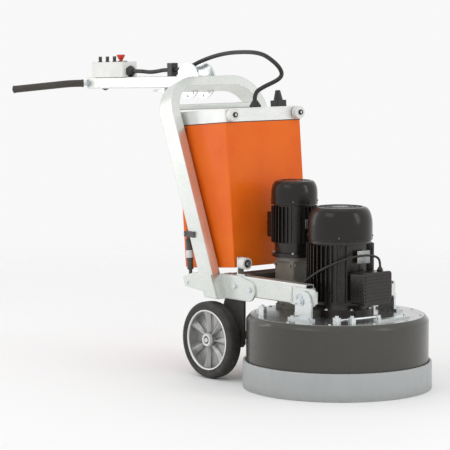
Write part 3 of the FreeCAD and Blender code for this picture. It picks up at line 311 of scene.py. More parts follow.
ORANGE = (0.84, 0.165, 0.010)
FINISHES = {
    "frame_paint": galvanised("galvanised_frame"),
    "zinc": plated("plated_zinc", (0.76, 0.775, 0.75), 0.24),
    "dark_steel": cast("dark_steel_finish", (0.085, 0.08, 0.075), (0.4, 0.39, 0.37), 0.4),
    "cabinet_orange": painted("orange_coat", ORANGE, (0.76, 0.115, 0.008), (0.66, 0.24, 0.09), 0.3,
                              coat=0.0, specular=0.22, wear_amount=0.15),
    "aluminium": brushed("brushed_aluminium", (0.80, 0.81, 0.79), 0.34, (1, 0.03, 1), 0.6),
    "steel": brushed("ground_steel", (0.55, 0.55, 0.54), 0.3, (0.05, 1, 1)),
    "polished": turned_plate(),
    "cover_paint": painted("cover_coat", (0.060, 0.058, 0.050), (0.052, 0.050, 0.043), (0.16, 0.155, 0.14),
                           0.24, coat=0.22, specular=0.3, wear_amount=0.3),
    "motor_black": cast("motor_casting", (0.012, 0.008, 0.006), (0.08, 0.07, 0.064), 0.28, coat=0.1),
    "cowl_grey": painted("cowl_coat", (0.013, 0.010, 0.008), (0.010, 0.008, 0.007), (0.10, 0.09, 0.08),
                         0.20, coat=0.12, specular=0.28, wear_amount=0.25),
    "gearbox_paint": cast("gearbox_casting", (0.27, 0.25, 0.21), (0.55, 0.53, 0.48), 0.38),
    "tyre": rubber("tyre_rubber", (0.030, 0.028, 0.026), (0.10, 0.095, 0.088), 0.58),
    "nylon": moulded("white_nylon", (0.78, 0.78, 0.75), 0.32),
    "grip": rubber("grip_rubber", (0.055, 0.05, 0.044), (0.10, 0.095, 0.085), 0.62, 0.3),
    "cable": rubber("cable_sheath", (0.022, 0.022, 0.021), (0.07, 0.068, 0.064), 0.4, 0.3),
    "skirt": skirt_finish(),
    "box_plastic": moulded("box_shell", (0.80, 0.80, 0.78), 0.34),
    "black_plastic": moulded("black_moulding", (0.020, 0.020, 0.021), 0.36),
    "stop_red": moulded("stop_moulding", (0.62, 0.035, 0.018), 0.28),
    "electrical": moulded("switchgear_moulding", (0.22, 0.23, 0.24), 0.42),
}
GREASE = cast("oiled_threads", (0.05, 0.045, 0.04), (0.25, 0.24, 0.22), 0.32)
BLANK_LABEL = moulded("blank_label", (0.74, 0.74, 0.72), 0.3)
NAMEPLATE = brushed("nameplate_alloy", (0.36, 0.37, 0.37), 0.32, (1, 0.05, 1), 0.9)
BRIGHT_RIM = brushed("machined_rim", (0.80, 0.80, 0.79), 0.22, (1, 1, 0.2), 0.95)
CAST_RIM = cast("rim_casting", (0.46, 0.46, 0.45), (0.75, 0.75, 0.74), 0.34)
CAST_RIM.node_tree.nodes["Principled BSDF"].inputs["Metallic"].default_value = 0.85


# ---------------------------------------------------------------- mesh tools

def piece(name, mesh, body, slot, finish=None, smooth=35.0, replaces=()):
    """Makes an object of a bmesh that is already in the row frame, and rides it on its body."""
    bmesh.ops.recalc_face_normals(mesh, faces=mesh.faces)
    for face in mesh.faces:
        face.smooth = True
    for edge in mesh.edges:
        if len(edge.link_faces) == 2 and edge.calc_face_angle(0) > math.radians(smooth):
            edge.smooth = False
    data = bpy.data.meshes.new(name)
    mesh.to_mesh(data)
    mesh.free()
    made = bpy.data.objects.new(name, data)
    scene.collection.objects.link(made)
    data.materials.append(finish or FINISHES[slot])
    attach(made, body)
    if replaces:
        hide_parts(*replaces)
    return made


def lathe(mesh, place, profile, segments=64, closed=True):
    """Turns a profile of (radius, height) in millimetres about the place's Z into the mesh."""
    rings = []
    for i in range(segments):
        angle = 2 * math.pi * i / segments
        ring = []
        for r, h in profile:
            ring.append(mesh.verts.new(spot(place, r * math.cos(angle), r * math.sin(angle), h)))
        rings.append(ring)
    count = len(profile)
    last = count if closed else count - 1
    for i in range(segments):
        a, b = rings[i], rings[(i + 1) % segments]
        for j in range(last):
            k = (j + 1) % count
            mesh.faces.new((a[j], a[k], b[k], b[j]))


def cap_profile(mesh, place, profile, segments=48):
    """A lathe whose profile starts and ends on the axis."""
    bottom = mesh.verts.new(spot(place, 0, 0, profile[0][1]))
    top = mesh.verts.new(spot(place, 0, 0, profile[-1][1]))
    rings = []
    for i in range(segments):
        angle = 2 * math.pi * i / segments
        rings.append([mesh.verts.new(spot(place, r * math.cos(angle), r * math.sin(angle), h))
                      for r, h in profile[1:-1]])
    for i in range(segments):
        a, b = rings[i], rings[(i + 1) % segments]
        mesh.faces.new((bottom, a[0], b[0]))
        mesh.faces.new((a[-1], top, b[-1]))
        for j in range(len(a) - 1):
            mesh.faces.new((a[j], a[j + 1], b[j + 1], b[j]))


def block(mesh, place, low, high, bevel=1.0, segments=2):
    """Box between two local corners in millimetres, with rounded edges."""
    part = bmesh.new()
    bmesh.ops.create_cube(part, size=1.0)
    for vert in part.verts:
        for i in range(3):
            vert.co[i] = (low[i] if vert.co[i] < 0 else high[i]) * MM
    if bevel:
        bmesh.ops.bevel(part, geom=part.edges[:], offset=bevel * MM, segments=segments, affect="EDGES",
                        profile=0.5)
    merge(mesh, part, place)


def merge(mesh, part, place):
    """Adds one bmesh, moved to its place, to another."""
    copies = {vert: mesh.verts.new(place @ vert.co) for vert in part.verts}
    for face in part.faces:
        mesh.faces.new([copies[vert] for vert in face.verts])
    part.free()


def hexagon(mesh, place, across, height, chamfer=0.12, washer=0.0):
    """Chamfered bolt head or nut standing on the place's XY plane, over a washer if one is given."""
    corner = across / math.sqrt(3)
    levels = [(1.0, 0.0), (1.0, height * (1 - chamfer)), (0.9, height)]
    rings = []
    for scale, z in levels:
        rings.append([mesh.verts.new(spot(place, scale * corner * math.cos(math.radians(60 * i)),
                                          scale * corner * math.sin(math.radians(60 * i)), z + washer))
                      for i in range(6)])
    for a, b in zip(rings, rings[1:]):
        for i in range(6):
            k = (i + 1) % 6
            mesh.faces.new((a[i], a[k], b[k], b[i]))
    mesh.faces.new(rings[0])
    mesh.faces.new(rings[-1])
    if washer:
        r = across * 0.86
        cap_profile(mesh, place, [(0, 0), (r, 0), (r, washer * 0.8), (r - 0.3, washer), (0, washer)], 24)


def screw(mesh, place, r, height):
    """Round-headed screw with a sunk hexagonal socket."""
    socket = r * 0.5
    profile = [(0, 0), (r, 0), (r, height * 0.7), (r * 0.86, height), (socket, height),
               (socket, height * 0.45), (0, height * 0.45)]
    cap_profile(mesh, place, profile, 18)


def smooth_line(name, points, order=3):
    """Curve object of one NURBS spline through the row frame with these control points."""
    curve = bpy.data.curves.new(name, "CURVE")
    curve.dimensions = "3D"
    spline = curve.splines.new("NURBS")
    spline.points.add(len(points) - 1)
    for target, point in zip(spline.points, points):
        target.co = (*point, 1.0)
    spline.order_u = order
    spline.use_endpoint_u = True
    spline.resolution_u = 12
    return bpy.data.objects.new(name, curve)


def centreline(points):
    """Points along the NURBS of a route, read from its own unbevelled curve."""
    line = smooth_line("route", points)
    scene.collection.objects.link(line)
    bpy.context.view_layer.update()
    evaluated = line.evaluated_get(bpy.context.evaluated_depsgraph_get())
    data = bpy.data.meshes.new_from_object(evaluated)
    found = [vert.co.copy() for vert in data.vertices]
    bpy.data.meshes.remove(data)
    bpy.data.objects.remove(line)
    return found


def sweep(mesh, path, radius_at, segments=20):
    """Tube along a path; radius_at gives millimetres for the distance run, in millimetres."""
    normal = Vector((0, 0, 1))
    run = 0.0
    rings = []
    for i, point in enumerate(path):
        before = path[max(i - 1, 0)]
        after = path[min(i + 1, len(path) - 1)]
        along = (after - before).normalized()
        if i:
            run += (point - before).length / MM
        normal = (normal - along * normal.dot(along)).normalized()
        side = along.cross(normal)
        r = radius_at(run) * MM
        rings.append([mesh.verts.new(point + (normal * math.cos(2 * math.pi * k / segments)
                                              + side * math.sin(2 * math.pi * k / segments)) * r)
                      for k in range(segments)])
    for a, b in zip(rings, rings[1:]):
        for k in range(segments):
            j = (k + 1) % segments
            mesh.faces.new((a[k], a[j], b[j], b[k]))
    mesh.faces.new(rings[0])
    mesh.faces.new(rings[-1])


# ---------------------------------------------------------------- camera, stage and light

def camera():
    data = bpy.data.cameras.new("camera")
    data.lens = 176.7
    data.sensor_width = 36.0
    data.clip_end = 200.0
    made = bpy.data.objects.new("camera", data)
    scene.collection.objects.link(made)
    made.location = (6.9099, -5.764, 1.463)
    back = Vector((0.7616, -0.6405, 0.0988))
    made.rotation_mode = "QUATERNION"
    made.rotation_quaternion = back.to_track_quat("Z", "Y")
    scene.camera = made


def area_light(name, azimuth, elevation, distance, size, power, colour=(1, 1, 1)):
    """Soft box aimed at the object's middle; azimuth 0 is in front of the camera's view along +Y."""
    middle = Vector((0.45, 0.0, 0.6))
    a, e = math.radians(azimuth), math.radians(elevation)
    back = Vector((math.sin(a) * math.cos(e), -math.cos(a) * math.cos(e), math.sin(e)))
    data = bpy.data.lights.new(name, "AREA")
    data.shape = "RECTANGLE"
    data.size, data.size_y = size
    data.energy = power
    data.color = colour
    made = bpy.data.objects.new(name, data)
    scene.collection.objects.link(made)
    made.location = middle + back * distance
    made.rotation_mode = "QUATERNION"
    made.rotation_quaternion = back.to_track_quat("Z", "Y")


def floor_paper():
    """Plain pale paper that fades out into the studio's even light."""
    f = Finish("floor_paper")
    f.bump(f.noise(60.0, 3.0), 0.0003, 0.1)
    material = f.finish((0.90, 0.90, 0.90), 0.75, edge_radius=0.0, specular=0.2)
    away = f.node("VectorMath", operation="LENGTH")
    f.link(f.coords, away.inputs[0])
    fade = f.node("MapRange", interpolation_type="SMOOTHSTEP")
    fade.inputs["From Min"].default_value = FLOOR_PLAIN
    fade.inputs["From Max"].default_value = FLOOR_END
    fade.inputs["To Min"].default_value = 1.0
    fade.inputs["To Max"].default_value = 0.0
    f.link(away.outputs["Value"], fade.inputs["Value"])
    f.link(fade.outputs["Result"], f.shader.inputs["Alpha"])
    return material


FLOOR_PLAIN, FLOOR_END = 1.8, 6.0


def stage():
    mesh = bmesh.new()
    bmesh.ops.create_circle(mesh, cap_ends=True, segments=96, radius=FLOOR_END)
    data = bpy.data.meshes.new("floor")
    mesh.to_mesh(data)
    mesh.free()
    floor = bpy.data.objects.new("floor", data)
    scene.collection.objects.link(floor)
    floor.location = (0.8, 0.0, -0.0005)
    data.materials.append(floor_paper())
    world = bpy.data.worlds.new("studio")
    world.use_nodes = True
    world.node_tree.nodes["Background"].inputs["Color"].default_value = (1.0, 1.0, 1.0, 1.0)
    world.node_tree.nodes["Background"].inputs["Strength"].default_value = 0.94
    scene.world = world
    area_light("key", 5, 38, 4.5, (2.2, 1.6), 14)
    area_light("side", 112, 22, 4.5, (0.9, 2.8), 22)
    area_light("overhead", 50, 82, 4.5, (3.0, 2.2), 9)
    area_light("strip", -58, 14, 4.0, (0.5, 2.4), 12)
    scene.view_settings.view_transform = "Standard"


# ---------------------------------------------------------------- cords

def cord_facts(route):
    line = centreline(route)
    length = sum((b - a).length for a, b in zip(line, line[1:]))
    return line, length


def riding_cord(name, route, diameter, body, node):
    """A cable that keeps its shape between two glands of one body."""
    line, length = cord_facts(route)
    made = smooth_line(name, route)
    scene.collection.objects.link(made)
    made.data.bevel_depth = diameter / 2 * MM
    made.data.bevel_resolution = 6
    made.data.use_fill_caps = True
    made.data.materials.append(FINISHES["cable"])
    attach(made, body)
    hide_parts(node)


def control_loop():
    """Free part of the control cable between the handle and the cabinet, swept as one fixed tube."""
    gland_top = CAB_H + BAND_H + 28.0
    route = [spot(HANDLE, -136, 0, 47)]
    for x, y, z in ((-919, 0, 1202), (-868, 5, 1225), (-807, 8, 1245), (-729, 3, 1262), (-639, -10, 1274),
                    (-544, -24, 1279), (-458, -34, 1280), (-391, -38, 1272), (-351, -29, 1250),
                    (-336, -8, 1226), (-343, 16, 1201), (-372, 36, 1181), (-410, 37, 1163),
                    (-447, 12, 1143)):
        route.append(mm(x, y, z))
    route.append(spot(CABINET, -26, -17, gland_top + 30))
    route.append(spot(CABINET, -26, -17, gland_top))
    line, length = cord_facts(route)
    mesh = bmesh.new()
    sweep(mesh, line, lambda run: CONTROL_D / 2, 24)
    made = piece("control_loop", mesh, "handle", "cable", replaces=("control_cable_loop",))
    made.parent = None
    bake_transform(made)


def cords():
    handle_route = [spot(HANDLE, x, 0, z) for x, z in
                    ((-418, 44), (-370, 44), (-305, 38), (-250, 42), (-210, 47), (-137, 47))]
    riding_cord("control_cable", handle_route, CONTROL_D, "handle", "handle_cable")
    motor_route = [mm(*point) for point in
                   ((-75, -140, 301), (-75, -140, 345), (-52, -145, 392), (-2, -147, 432), (58, -138, 468),
                    (110, -110, 497), (150, -64, 518), (174, -14, 525), (187, 24, 519), (190, 43, 503),
                    (190, 43, 478))]
    riding_cord("motor_lead", motor_route, MOTOR_CABLE_D, "head", "motor_cable")
    control_loop()


# ---------------------------------------------------------------- wheels

TYRE_W, TYRE_Y, RIM_R = 60.0, 217.0, 120.5
SPOKES = 7


def tyre(side, name):
    place = axis_frame(UPRIGHT, WHEEL_X, side * TYRE_Y, WHEEL_Z, (0, side, 0))
    half = [(RIM_R, 4), (RIM_R + 2, 1.5), (126, 0.6), (130, 1.4), (131, 0.4), (140, 0), (146, 2), (149.5, 6),
            (151.2, 11), (151.8, 19), (149.6, 20), (149.6, 22), (152, 23)]
    profile = half + [(r, TYRE_W - h) for r, h in reversed(half)]
    mesh = bmesh.new()
    lathe(mesh, place, profile, 120)
    piece("tyre_" + name, mesh, "wheel_" + name, "tyre", smooth=50, replaces=("wheel_tyre_" + name,))


def rim(side, name):
    """Dished casting with ridged spokes, machined outer lip and nylon hub cap."""
    body = "wheel_" + name
    place = axis_frame(UPRIGHT, WHEEL_X, side * TYRE_Y, WHEEL_Z, (0, side, 0))
    mesh = bmesh.new()
    lathe(mesh, place, [(111.5, 3.5), (120.3, 3), (120.3, 52), (111.5, 52)], 96)
    lathe(mesh, place, [(28, 18), (112, 18), (112, 24), (104, 26), (40, 26), (28, 28)], 96)
    lathe(mesh, place, [(15.6, 4), (29, 4), (30, 6), (30, 50), (27, 54), (24.5, 55), (15.6, 55)], 64)
    for i in range(SPOKES):
        turn = place @ Matrix.Rotation(2 * math.pi * i / SPOKES, 4, "Z")
        rings = []
        for r, ridge in ((25, 46), (45, 42), (75, 41), (100, 43), (112.5, 46)):
            w = 8 + 18 * (r - 24) / 88.5
            outline = [(-w, 25), (-0.86 * w, 33), (-0.16 * w, ridge),
                       (0.16 * w, ridge), (0.86 * w, 33), (w, 25)]
            rings.append([mesh.verts.new(spot(turn, r, across, h)) for across, h in outline])
        for a, b in zip(rings, rings[1:]):
            for k in range(6):
                j = (k + 1) % 6
                mesh.faces.new((a[k], a[j], b[j], b[k]))
        mesh.faces.new(rings[0])
        mesh.faces.new(rings[-1])
    piece("rim_" + name, mesh, body, "aluminium", CAST_RIM, 28, ("wheel_rim_" + name,))
    mesh = bmesh.new()
    lathe(mesh, place, [(111.4, 52), (120.4, 52), (120.4, 56), (118.5, 58), (114, 57.6), (112, 55)], 120)
    piece("rim_lip_" + name, mesh, body, "aluminium", BRIGHT_RIM)
    mesh = bmesh.new()
    lathe(mesh, place, [(15.8, 55), (24.5, 55), (24.5, 57.5), (23, 59.6), (17.5, 59.6), (15.8, 58.5)], 64)
    piece("hub_cap_" + name, mesh, body, "nylon")


def axle():
    """Axle, bracket plates, collars and end discs."""
    outline = [(-337, 335), (-440, 335), (-495, 200), (-495, 140), (-482, 127), (-350, 127), (-337, 140)]
    mesh = bmesh.new()
    for side in (1, -1):
        near = [mesh.verts.new(mm(x, side * 176, z)) for x, z in outline]
        far = [mesh.verts.new(mm(x, side * 188, z)) for x, z in outline]
        mesh.faces.new(near)
        mesh.faces.new(far)
        for k in range(len(outline)):
            j = (k + 1) % len(outline)
            mesh.faces.new((near[k], near[j], far[j], far[k]))
        place = axis_frame(UPRIGHT, WHEEL_X, side * 188, WHEEL_Z, (0, side, 0))
        lathe(mesh, place, [(15, 0), (29, 0), (29, 6), (26, 8.5), (15, 8.5)], 48)
        for x, z in ((-365, 318), (-415, 318)):
            hexagon(mesh, axis_frame(UPRIGHT, x, side * 188, z, (0, side, 0)), 16, 7, washer=2)
    place = axis_frame(UPRIGHT, WHEEL_X, -272, WHEEL_Z, (0, 1, 0))
    cap_profile(mesh, place, [(0, 0), (14, 0), (15, 1.5), (15, 542.5), (14, 544), (0, 544)], 40)
    piece("axle_and_plates", mesh, "chassis", "dark_steel", replaces=("axle_set",))
    mesh = bmesh.new()
    for side in (1, -1):
        place = axis_frame(UPRIGHT, WHEEL_X, side * 272, WHEEL_Z, (0, side, 0))
        cap_profile(mesh, place, [(0, 0), (9, 0), (9, 4), (7.5, 6), (3, 6), (3, 4.5), (0, 4.5)], 32)
    piece("axle_end_plugs", mesh, "chassis", "nylon")


def wheels():
    for side, name in ((1, "left"), (-1, "right")):
        tyre(side, name)
        rim(side, name)
    axle()


# ---------------------------------------------------------------- grinding head

SKIRT_R, SKIRT_IN, COVER_Z = 365.0, 354.0, 106.0
COVER_R, SHOULDER_Z, PLATE_Z, PLATE_R = 352.0, 259.0, 283.0, 335.0


def skirt():
    mesh = bmesh.new()
    profile = [(SKIRT_IN + 0.3, 1.5), (SKIRT_IN + 2, 0), (SKIRT_R - 2, 0), (SKIRT_R, 2.5), (SKIRT_R, 99),
               (SKIRT_R - 1.2, 103.5), (SKIRT_R - 4, 105.6), (SKIRT_IN + 3, COVER_Z),
               (SKIRT_IN + 0.3, 104.5)]
    lathe(mesh, UPRIGHT, profile, 200)
    piece("floating_skirt", mesh, "skirt", "skirt", smooth=40, replaces=("dust_skirt",))


def safety_clips():
    """Wire ring clips that keep the float pivot pins in."""
    mesh = bmesh.new()
    for side in (1, -1):
        ring = []
        for i in range(41):
            angle = 2 * math.pi * i / 40
            ring.append(spot(UPRIGHT, 30 + 13 * math.cos(angle), side * 228, 366 + 13 * math.sin(angle)))
        sweep(mesh, ring, lambda run: 1.3, 8)
    piece("pin_clips", mesh, "chassis", "zinc")


def head_top():
    """Painted shoulder of the cover, and the sheet bolted inside it."""
    mesh = bmesh.new()
    lathe(mesh, UPRIGHT, [(COVER_R - 10, SHOULDER_Z), (COVER_R, SHOULDER_Z), (COVER_R, SHOULDER_Z + 3),
                          (COVER_R - 1.2, SHOULDER_Z + 6), (COVER_R - 12, PLATE_Z - 4),
                          (PLATE_R + 2, PLATE_Z - 1), (PLATE_R + 0.4, PLATE_Z - 1.4),
                          (PLATE_R + 0.4, PLATE_Z - 9), (COVER_R - 14, SHOULDER_Z)],
          200)
    piece("cover_shoulder", mesh, "head", "cover_paint", smooth=25)
    mesh = bmesh.new()
    loops = ((0.0, PLATE_R, 160), (HUB_X, 26.0, 48), (SMALL_X, 20.0, 40))
    edges = []
    for x, r, count in loops:
        ring = []
        for i in range(count):
            angle = 2 * math.pi * i / count
            ring.append(mesh.verts.new(mm(x + r * math.cos(angle), r * math.sin(angle), PLATE_Z)))
        for i in range(count):
            edges.append(mesh.edges.new((ring[i], ring[(i + 1) % count])))
    bmesh.ops.triangle_fill(mesh, use_beauty=True, edges=edges)
    made = bmesh.ops.extrude_face_region(mesh, geom=mesh.faces[:])
    moved = [item for item in made["geom"] if isinstance(item, bmesh.types.BMVert)]
    bmesh.ops.translate(mesh, verts=moved, vec=Vector((0, 0, -8 * MM)))
    piece("top_sheet", mesh, "head", "polished", smooth=30, replaces=("top_plate",))
    mesh = bmesh.new()
    for i in range(12):
        angle = math.radians(30 * i + 12)
        seat = Vector((322 * math.cos(angle), 322 * math.sin(angle), PLATE_Z)) * MM
        screw(mesh, UPRIGHT @ Matrix.Translation(seat), 5.5, 3.2)
    piece("top_sheet_screws", mesh, "head", "zinc")


def cowl(name, x, r, z0, z1, r_disc, node):
    """Pressed fan cowl with a long soft shoulder, rolled lip and barred air inlet."""
    shoulder = 0.56 * (z1 - z0)
    wall = 2.2
    arc = []
    for i in range(13):
        angle = math.pi / 2 * i / 12
        arc.append((r_disc + (r - r_disc) * math.cos(angle) ** 0.9,
                    z1 - shoulder + shoulder * math.sin(angle)))
    profile = [(r, z0), (r + 1.4, z0 + 1.2), (r + 1.4, z0 + 3.4), (r, z0 + 4.6)] + arc
    profile += [(r_disc - 4, z1), (r_disc - 5, z1 - 1.5), (r_disc - 5, z1 - 4)]
    profile += [(r_in - wall, z - wall) for r_in, z in reversed(arc[:-1])] + [(r - wall, z0)]
    place = Matrix.Translation(mm(x, 0, 0))
    mesh = bmesh.new()
    lathe(mesh, place, profile, 128)
    core = 0.36 * r_disc
    hub = [(0, z1 - 4), (core, z1 - 4), (core, z1 - 2), (core - 2, z1 - 1), (0, z1 - 1)]
    cap_profile(mesh, place, hub, 64)
    for fraction in (0.56, 0.76):
        lathe(mesh, place, [(fraction * r_disc - 1.5, z1 - 3.6), (fraction * r_disc + 1.5, z1 - 3.6),
                            (fraction * r_disc + 1.5, z1 - 1.4), (fraction * r_disc - 1.5, z1 - 1.4)], 96)
    for i in range(28):
        turn = place @ Matrix.Rotation(2 * math.pi * i / 28, 4, "Z")
        block(mesh, turn, (core - 2, -1.6, z1 - 3.8), (r_disc - 4, 1.6, z1 - 1.2), 0.5, 1)
    piece(name, mesh, "head", "cowl_grey", smooth=30, replaces=(node,))
    mesh = bmesh.new()
    for i in range(4):
        angle = math.radians(45 + 90 * i)
        out = (math.cos(angle), math.sin(angle), 0)
        screw(mesh, axis_frame(place, (r - 0.4) * out[0], (r - 0.4) * out[1], z0 + 14, out), 4.0, 2.6)
    piece(name + "_screws", mesh, "head", "dark_steel")


def motor_fittings():
    """Blank nameplates, flange bolts and the lifting eye of the main motor."""
    mesh = bmesh.new()
    block(mesh, UPRIGHT, (143.5, -33, 489), (145.6, 33, 538), 0.8)
    for y in (-28, 28):
        for z in (494, 533):
            screw(mesh, axis_frame(UPRIGHT, 145.4, y, z, (1, 0, 0)), 2.2, 1.2)
    block(mesh, UPRIGHT, (SMALL_X + 90, -24, 600), (SMALL_X + 92, 24, 636), 0.7)
    piece("motor_nameplates", mesh, "head", "motor_black", NAMEPLATE)
    mesh = bmesh.new()
    for i in range(8):
        angle = math.radians(45 * i + 22.5)
        place = axis_frame(UPRIGHT, HUB_X + 124 * math.cos(angle), 124 * math.sin(angle), 311, (0, 0, 1))
        hexagon(mesh, place, 10, 5, washer=1)
    for i in range(4):
        angle = math.radians(90 * i + 45)
        place = axis_frame(UPRIGHT, SMALL_X + 80 * math.cos(angle), 80 * math.sin(angle), 499, (0, 0, 1))
        hexagon(mesh, place, 9, 5, washer=1)
    piece("flange_bolts", mesh, "head", "zinc")
    mesh = bmesh.new()
    ring = []
    for i in range(33):
        angle = 2 * math.pi * i / 32
        ring.append(spot(UPRIGHT, HUB_X - 8 + 11 * math.cos(angle), 142, 560 + 11 * math.sin(angle)))
    sweep(mesh, ring, lambda run: 3.0, 12)
    block(mesh, UPRIGHT, (HUB_X - 14, 112, 541), (HUB_X - 2, 140, 552), 2)
    piece("lifting_eye", mesh, "head", "dark_steel")


def head():
    skirt()
    head_top()
    cowl("main_cowl", HUB_X, 124.5, 573, 698, 90, "main_motor_cowl")
    cowl("small_cowl", SMALL_X, 91, 690, 783, 66, "small_motor_cowl")
    motor_fittings()
    safety_clips()


# ---------------------------------------------------------------- chassis

def weld(name, body, runs, r=2.6):
    """Rippled weld beads along straight runs given as pairs of row-frame points."""
    mesh = bmesh.new()
    for start, end in runs:
        count = max(8, int((end - start).length / (1.6 * MM)))
        path = [start.lerp(end, i / count) for i in range(count + 1)]
        sweep(mesh, path, lambda run: r * (0.86 + 0.14 * abs(math.sin(run * 0.8))), 10)
    piece(name, mesh, body, "frame_paint")


def chassis_welds():
    runs = []
    for side in (1, -1):
        y = side * 211.5
        runs.append((mm(-441, y, 320), mm(-452, y, 408)))
        runs.append((mm(-396, side * 212, 321), mm(-431, side * 212, 411)))
        runs.append((mm(-36, side * 212, 337), mm(-36, side * 212, 399)))
        runs.append((mm(-706, side * 209, 1050), mm(-706, side * 209, 1064)))
        runs.append((mm(-742, side * 209, 1050), mm(-742, side * 209, 1064)))
        runs.append((mm(-452, side * 259.5, 408), mm(-420, side * 259.5, 330)))
    weld("frame_welds", "chassis", runs)


def band_brackets():
    """Upright plates with three small bolts that tie the cabinet's band to the legs."""
    mesh = bmesh.new()
    heads = bmesh.new()
    for side in (1, -1):
        y = side * (CAB_W / 2 + 2)
        near, far = sorted((y, y + side * 4))
        block(mesh, CABINET, (-CAB_D + 4, near, CAB_H - 4), (-CAB_D + 28, far, 619), 1)
        for z in (580, 596, 611):
            place = axis_frame(CABINET, -CAB_D + 20, y + side * 4, z, (0, side, 0))
            hexagon(heads, place, 7, 3.5, washer=0.8)
    piece("band_brackets", mesh, "chassis", "aluminium")
    piece("band_bracket_bolts", heads, "chassis", "zinc")


def beam_collars():
    """Raised strips where the end fittings start on the beams."""
    mesh = bmesh.new()
    for side in (1, -1):
        near, far = sorted((side * 212, side * 215))
        block(mesh, UPRIGHT, (-33, near, 336), (-24, far, 401), 1)
    piece("beam_collars", mesh, "chassis", "frame_paint")


def brace_labels():
    """White blank label round each turnbuckle sleeve, and the sleeve's knurled rings."""
    low, high = mm(-599, 0, 367), mm(-617, 0, 560)
    along = (high - low).normalized()
    for side, name in ((1, "left"), (-1, "right")):
        base = low + along * 50 * MM + Vector((0, side * 238 * MM, 0))
        place = Matrix.Translation(base) @ along.to_track_quat("Z", "Y").to_matrix().to_4x4()
        middle = ((high - low).length / MM - 70) / 2
        mesh = bmesh.new()
        band = [(14.05, middle - 15), (14.5, middle - 15), (14.5, middle + 15), (14.05, middle + 15)]
        lathe(mesh, place, band, 40)
        piece("sleeve_label_" + name, mesh, "brace_sleeve_" + name, "dark_steel", BLANK_LABEL)
        mesh = bmesh.new()
        for h in (3, 9, 2 * middle - 13, 2 * middle - 7):
            lathe(mesh, place, [(11.9, h), (13, h + 0.8), (13, h + 3.2), (11.9, h + 4)], 40)
        piece("sleeve_rings_" + name, mesh, "brace_sleeve_" + name, "dark_steel", GREASE)


def roller_faces():
    """Bearing seals on the rollers and dark socket bolts over their axes."""
    for side, name in ((1, "left"), (-1, "right")):
        mesh = bmesh.new()
        place = axis_frame(UPRIGHT, -316.2, side * 185, 461, (1, 0, 0))
        lathe(mesh, place, [(7.5, -1), (16, -1), (16, 0.8), (14.5, 1.6), (9, 1.6), (7.5, 0.8)], 40)
        piece("low_seal_" + name, mesh, "low_roller_" + name, "nylon", FINISHES["black_plastic"])
        mesh = bmesh.new()
        place = axis_frame(CABINET, 28, side * 172, 598, (1, 0, 0))
        lathe(mesh, place, [(7.5, -1), (15, -1), (15, 0.6), (13.5, 1.2), (9, 1.2), (7.5, 0.6)], 40)
        piece("top_seal_" + name, mesh, "top_roller_" + name, "nylon")
    mesh = bmesh.new()
    for side in (1, -1):
        screw(mesh, axis_frame(CABINET, 30, side * 172, 598, (1, 0, 0)), 10.5, 7.5)
    piece("top_roller_bolts", mesh, "chassis", "dark_steel", FINISHES["black_plastic"])


def chassis():
    chassis_welds()
    band_brackets()
    beam_collars()
    brace_labels()
    roller_faces()


# ---------------------------------------------------------------- cabinet

def band_shadow_strip():
    """Black strip under the band at its joint with the cabinet: painted shade that stands in for the band's
    shadow line.
    """
    half = CAB_W / 2
    mesh = bmesh.new()
    for low, high in (((-CAB_D - 1, -half - 1.2, CAB_H - 3), (1.2, -half + 2, CAB_H)),
                      ((-CAB_D - 1, half - 2, CAB_H - 3), (1.2, half + 1.2, CAB_H)),
                      ((-1.5, -half, CAB_H - 3), (1.2, half, CAB_H))):
        block(mesh, CABINET, low, high, 0.4, 1)
    # painted shade: a black strip placed where the band's lower edge casts its shadow line
    piece("band_shadow_strip", mesh, "chassis", "black_plastic")


def louvres():
    """Pressed hooded louvres in two banks on the rear door."""
    mesh = bmesh.new()
    for bank in (95, 390):
        for i in range(7):
            z = bank + 15 * i
            outline = [(0, 0), (-7, 2), (-7, 4), (-1.5, 11), (0, 12)]
            ends = []
            for y in (-95, 95):
                ends.append([mesh.verts.new(spot(CABINET, -CAB_D + x + 0.4, y, z + h)) for x, h in outline])
            for k in range(5):
                j = (k + 1) % 5
                mesh.faces.new((ends[0][k], ends[0][j], ends[1][j], ends[1][k]))
            mesh.faces.new(ends[0])
            mesh.faces.new(ends[1])
    piece("door_louvres", mesh, "door", "cabinet_orange", smooth=20)


def cabinet():
    band_shadow_strip()
    louvres()


# ---------------------------------------------------------------- handle

BAR_ROOT = Vector((-HANDLE_L + 6, 0, -4))
BAR_BEND = Vector((-760, 85, -4))
BAR_END = Vector((-957, 253, -25))
CONTROL_Y = -10.0
KNOB_X = (-639.0, -588.0, -538.0)
STOP_X = -492.0
GRIP_R = 15.5


def grips():
    """Foam sleeves that follow the bent bar, with a stepped collar and a soft closed end."""
    mesh = bmesh.new()
    for side in (1, -1):
        flip = Matrix.Diagonal((1, side, 1)).to_4x4()
        root, bend, end = (flip @ p for p in (BAR_ROOT, BAR_BEND, BAR_END))
        start = root + (bend - root).normalized() * 42
        before = bend + (start - bend).normalized() * 30
        after = bend + (end - bend).normalized() * 30
        path = [start.lerp(before, i / 8) for i in range(8)]
        for i in range(9):
            t = i / 8
            path.append(before * (1 - t) ** 2 + bend * 2 * t * (1 - t) + after * t ** 2)
        path += [after.lerp(end, i / 56) for i in range(1, 57)]
        total = sum((b - a).length for a, b in zip(path, path[1:]))

        def radius(run):
            tip = total - run
            r = GRIP_R
            if run < 7:
                r = GRIP_R + 1.2
            if tip < 10:
                r = GRIP_R + 1.0
            if tip < 4:
                r = GRIP_R * math.sqrt(max(0.25, 1 - ((4 - tip) / 5) ** 2))
            return r

        sweep(mesh, [spot(HANDLE, *p) for p in path], radius, 32)
    piece("foam_grips", mesh, "handle", "grip", smooth=50, replaces=("grips",))


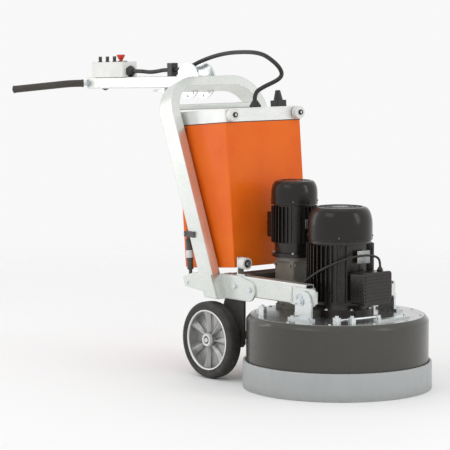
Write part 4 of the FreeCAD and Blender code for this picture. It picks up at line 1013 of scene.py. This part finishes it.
def controls():
    """Lid plate, knob pointers, stop button and pilot lamp bezels."""
    mesh = bmesh.new()
    block(mesh, HANDLE, (BOX_REAR + 12, CONTROL_Y - 20, BOX_TOP),
          (STOP_X - 22, CONTROL_Y + 24, BOX_TOP + 0.4), 0.15, 1)
    piece("control_plate", mesh, "handle", "aluminium", NAMEPLATE)
    for x, name in zip(KNOB_X, ("left", "middle", "right")):
        mesh = bmesh.new()
        block(mesh, HANDLE, (x + 1, CONTROL_Y - 0.8, BOX_TOP + 23.8),
              (x + 8, CONTROL_Y + 0.8, BOX_TOP + 24.3), 0.1, 1)
        piece("pointer_" + name, mesh, "selector_knob_" + name, "black_plastic", BLANK_LABEL)
    mesh = bmesh.new()
    place = axis_frame(HANDLE, STOP_X, CONTROL_Y, BOX_TOP, (0, 0, 1))
    stem = [(0, -13), (11, -13), (11, -9), (7.9, -9), (7.9, 10)]
    crown = [(11, 12), (14, 19), (17.4, 23.5), (18, 25), (18, 28.5), (17, 30), (13, 30.8), (0, 31)]
    cap_profile(mesh, place, stem + crown, 56)
    piece("stop_mushroom", mesh, "stop_button", "stop_red", smooth=40, replaces=("stop_button",))
    mesh = bmesh.new()
    lathe(mesh, place, [(8.4, 0), (15, 0), (15, 2.5), (13.5, 4), (8.4, 4)], 48)
    for x in (-470, -456):
        lathe(mesh, axis_frame(HANDLE, x, CONTROL_Y, BOX_TOP, (0, 0, 1)),
              [(4.1, 0), (6, 0), (6, 1.6), (5, 2.4), (4.1, 2.4)], 28)
    piece("control_bezels", mesh, "handle", "black_plastic")


def handle_details():
    """Clamp screws and end-plate weld."""
    mesh = bmesh.new()
    for x in (-161, -146):
        for y in (-12.5, 12.5):
            screw(mesh, axis_frame(HANDLE, x, y, 75, (0, 0, 1)), 3.2, 2.4)
    piece("clamp_screws", mesh, "handle", "zinc")
    ring = []
    for i in range(37):
        angle = 2 * math.pi * i / 36
        ring.append(spot(HANDLE, -HANDLE_L - 4.5, 20 * math.cos(angle), -4 + 15 * math.sin(angle)))
    mesh = bmesh.new()
    sweep(mesh, ring, lambda run: 2.2, 10)
    piece("bar_weld", mesh, "handle", "frame_paint")


def handle():
    grips()
    controls()
    handle_details()


# ---------------------------------------------------------------- all pieces

def dress_nodes():
    """Every CAD node that stays in view takes its finish from its record slot."""
    for node in nodes.values():
        slot = node.data.materials[0].name
        node.data.materials[0] = FINISHES[slot]


camera()
cords()
stage()
dress_nodes()
wheels()
head()
chassis()
cabinet()
handle()
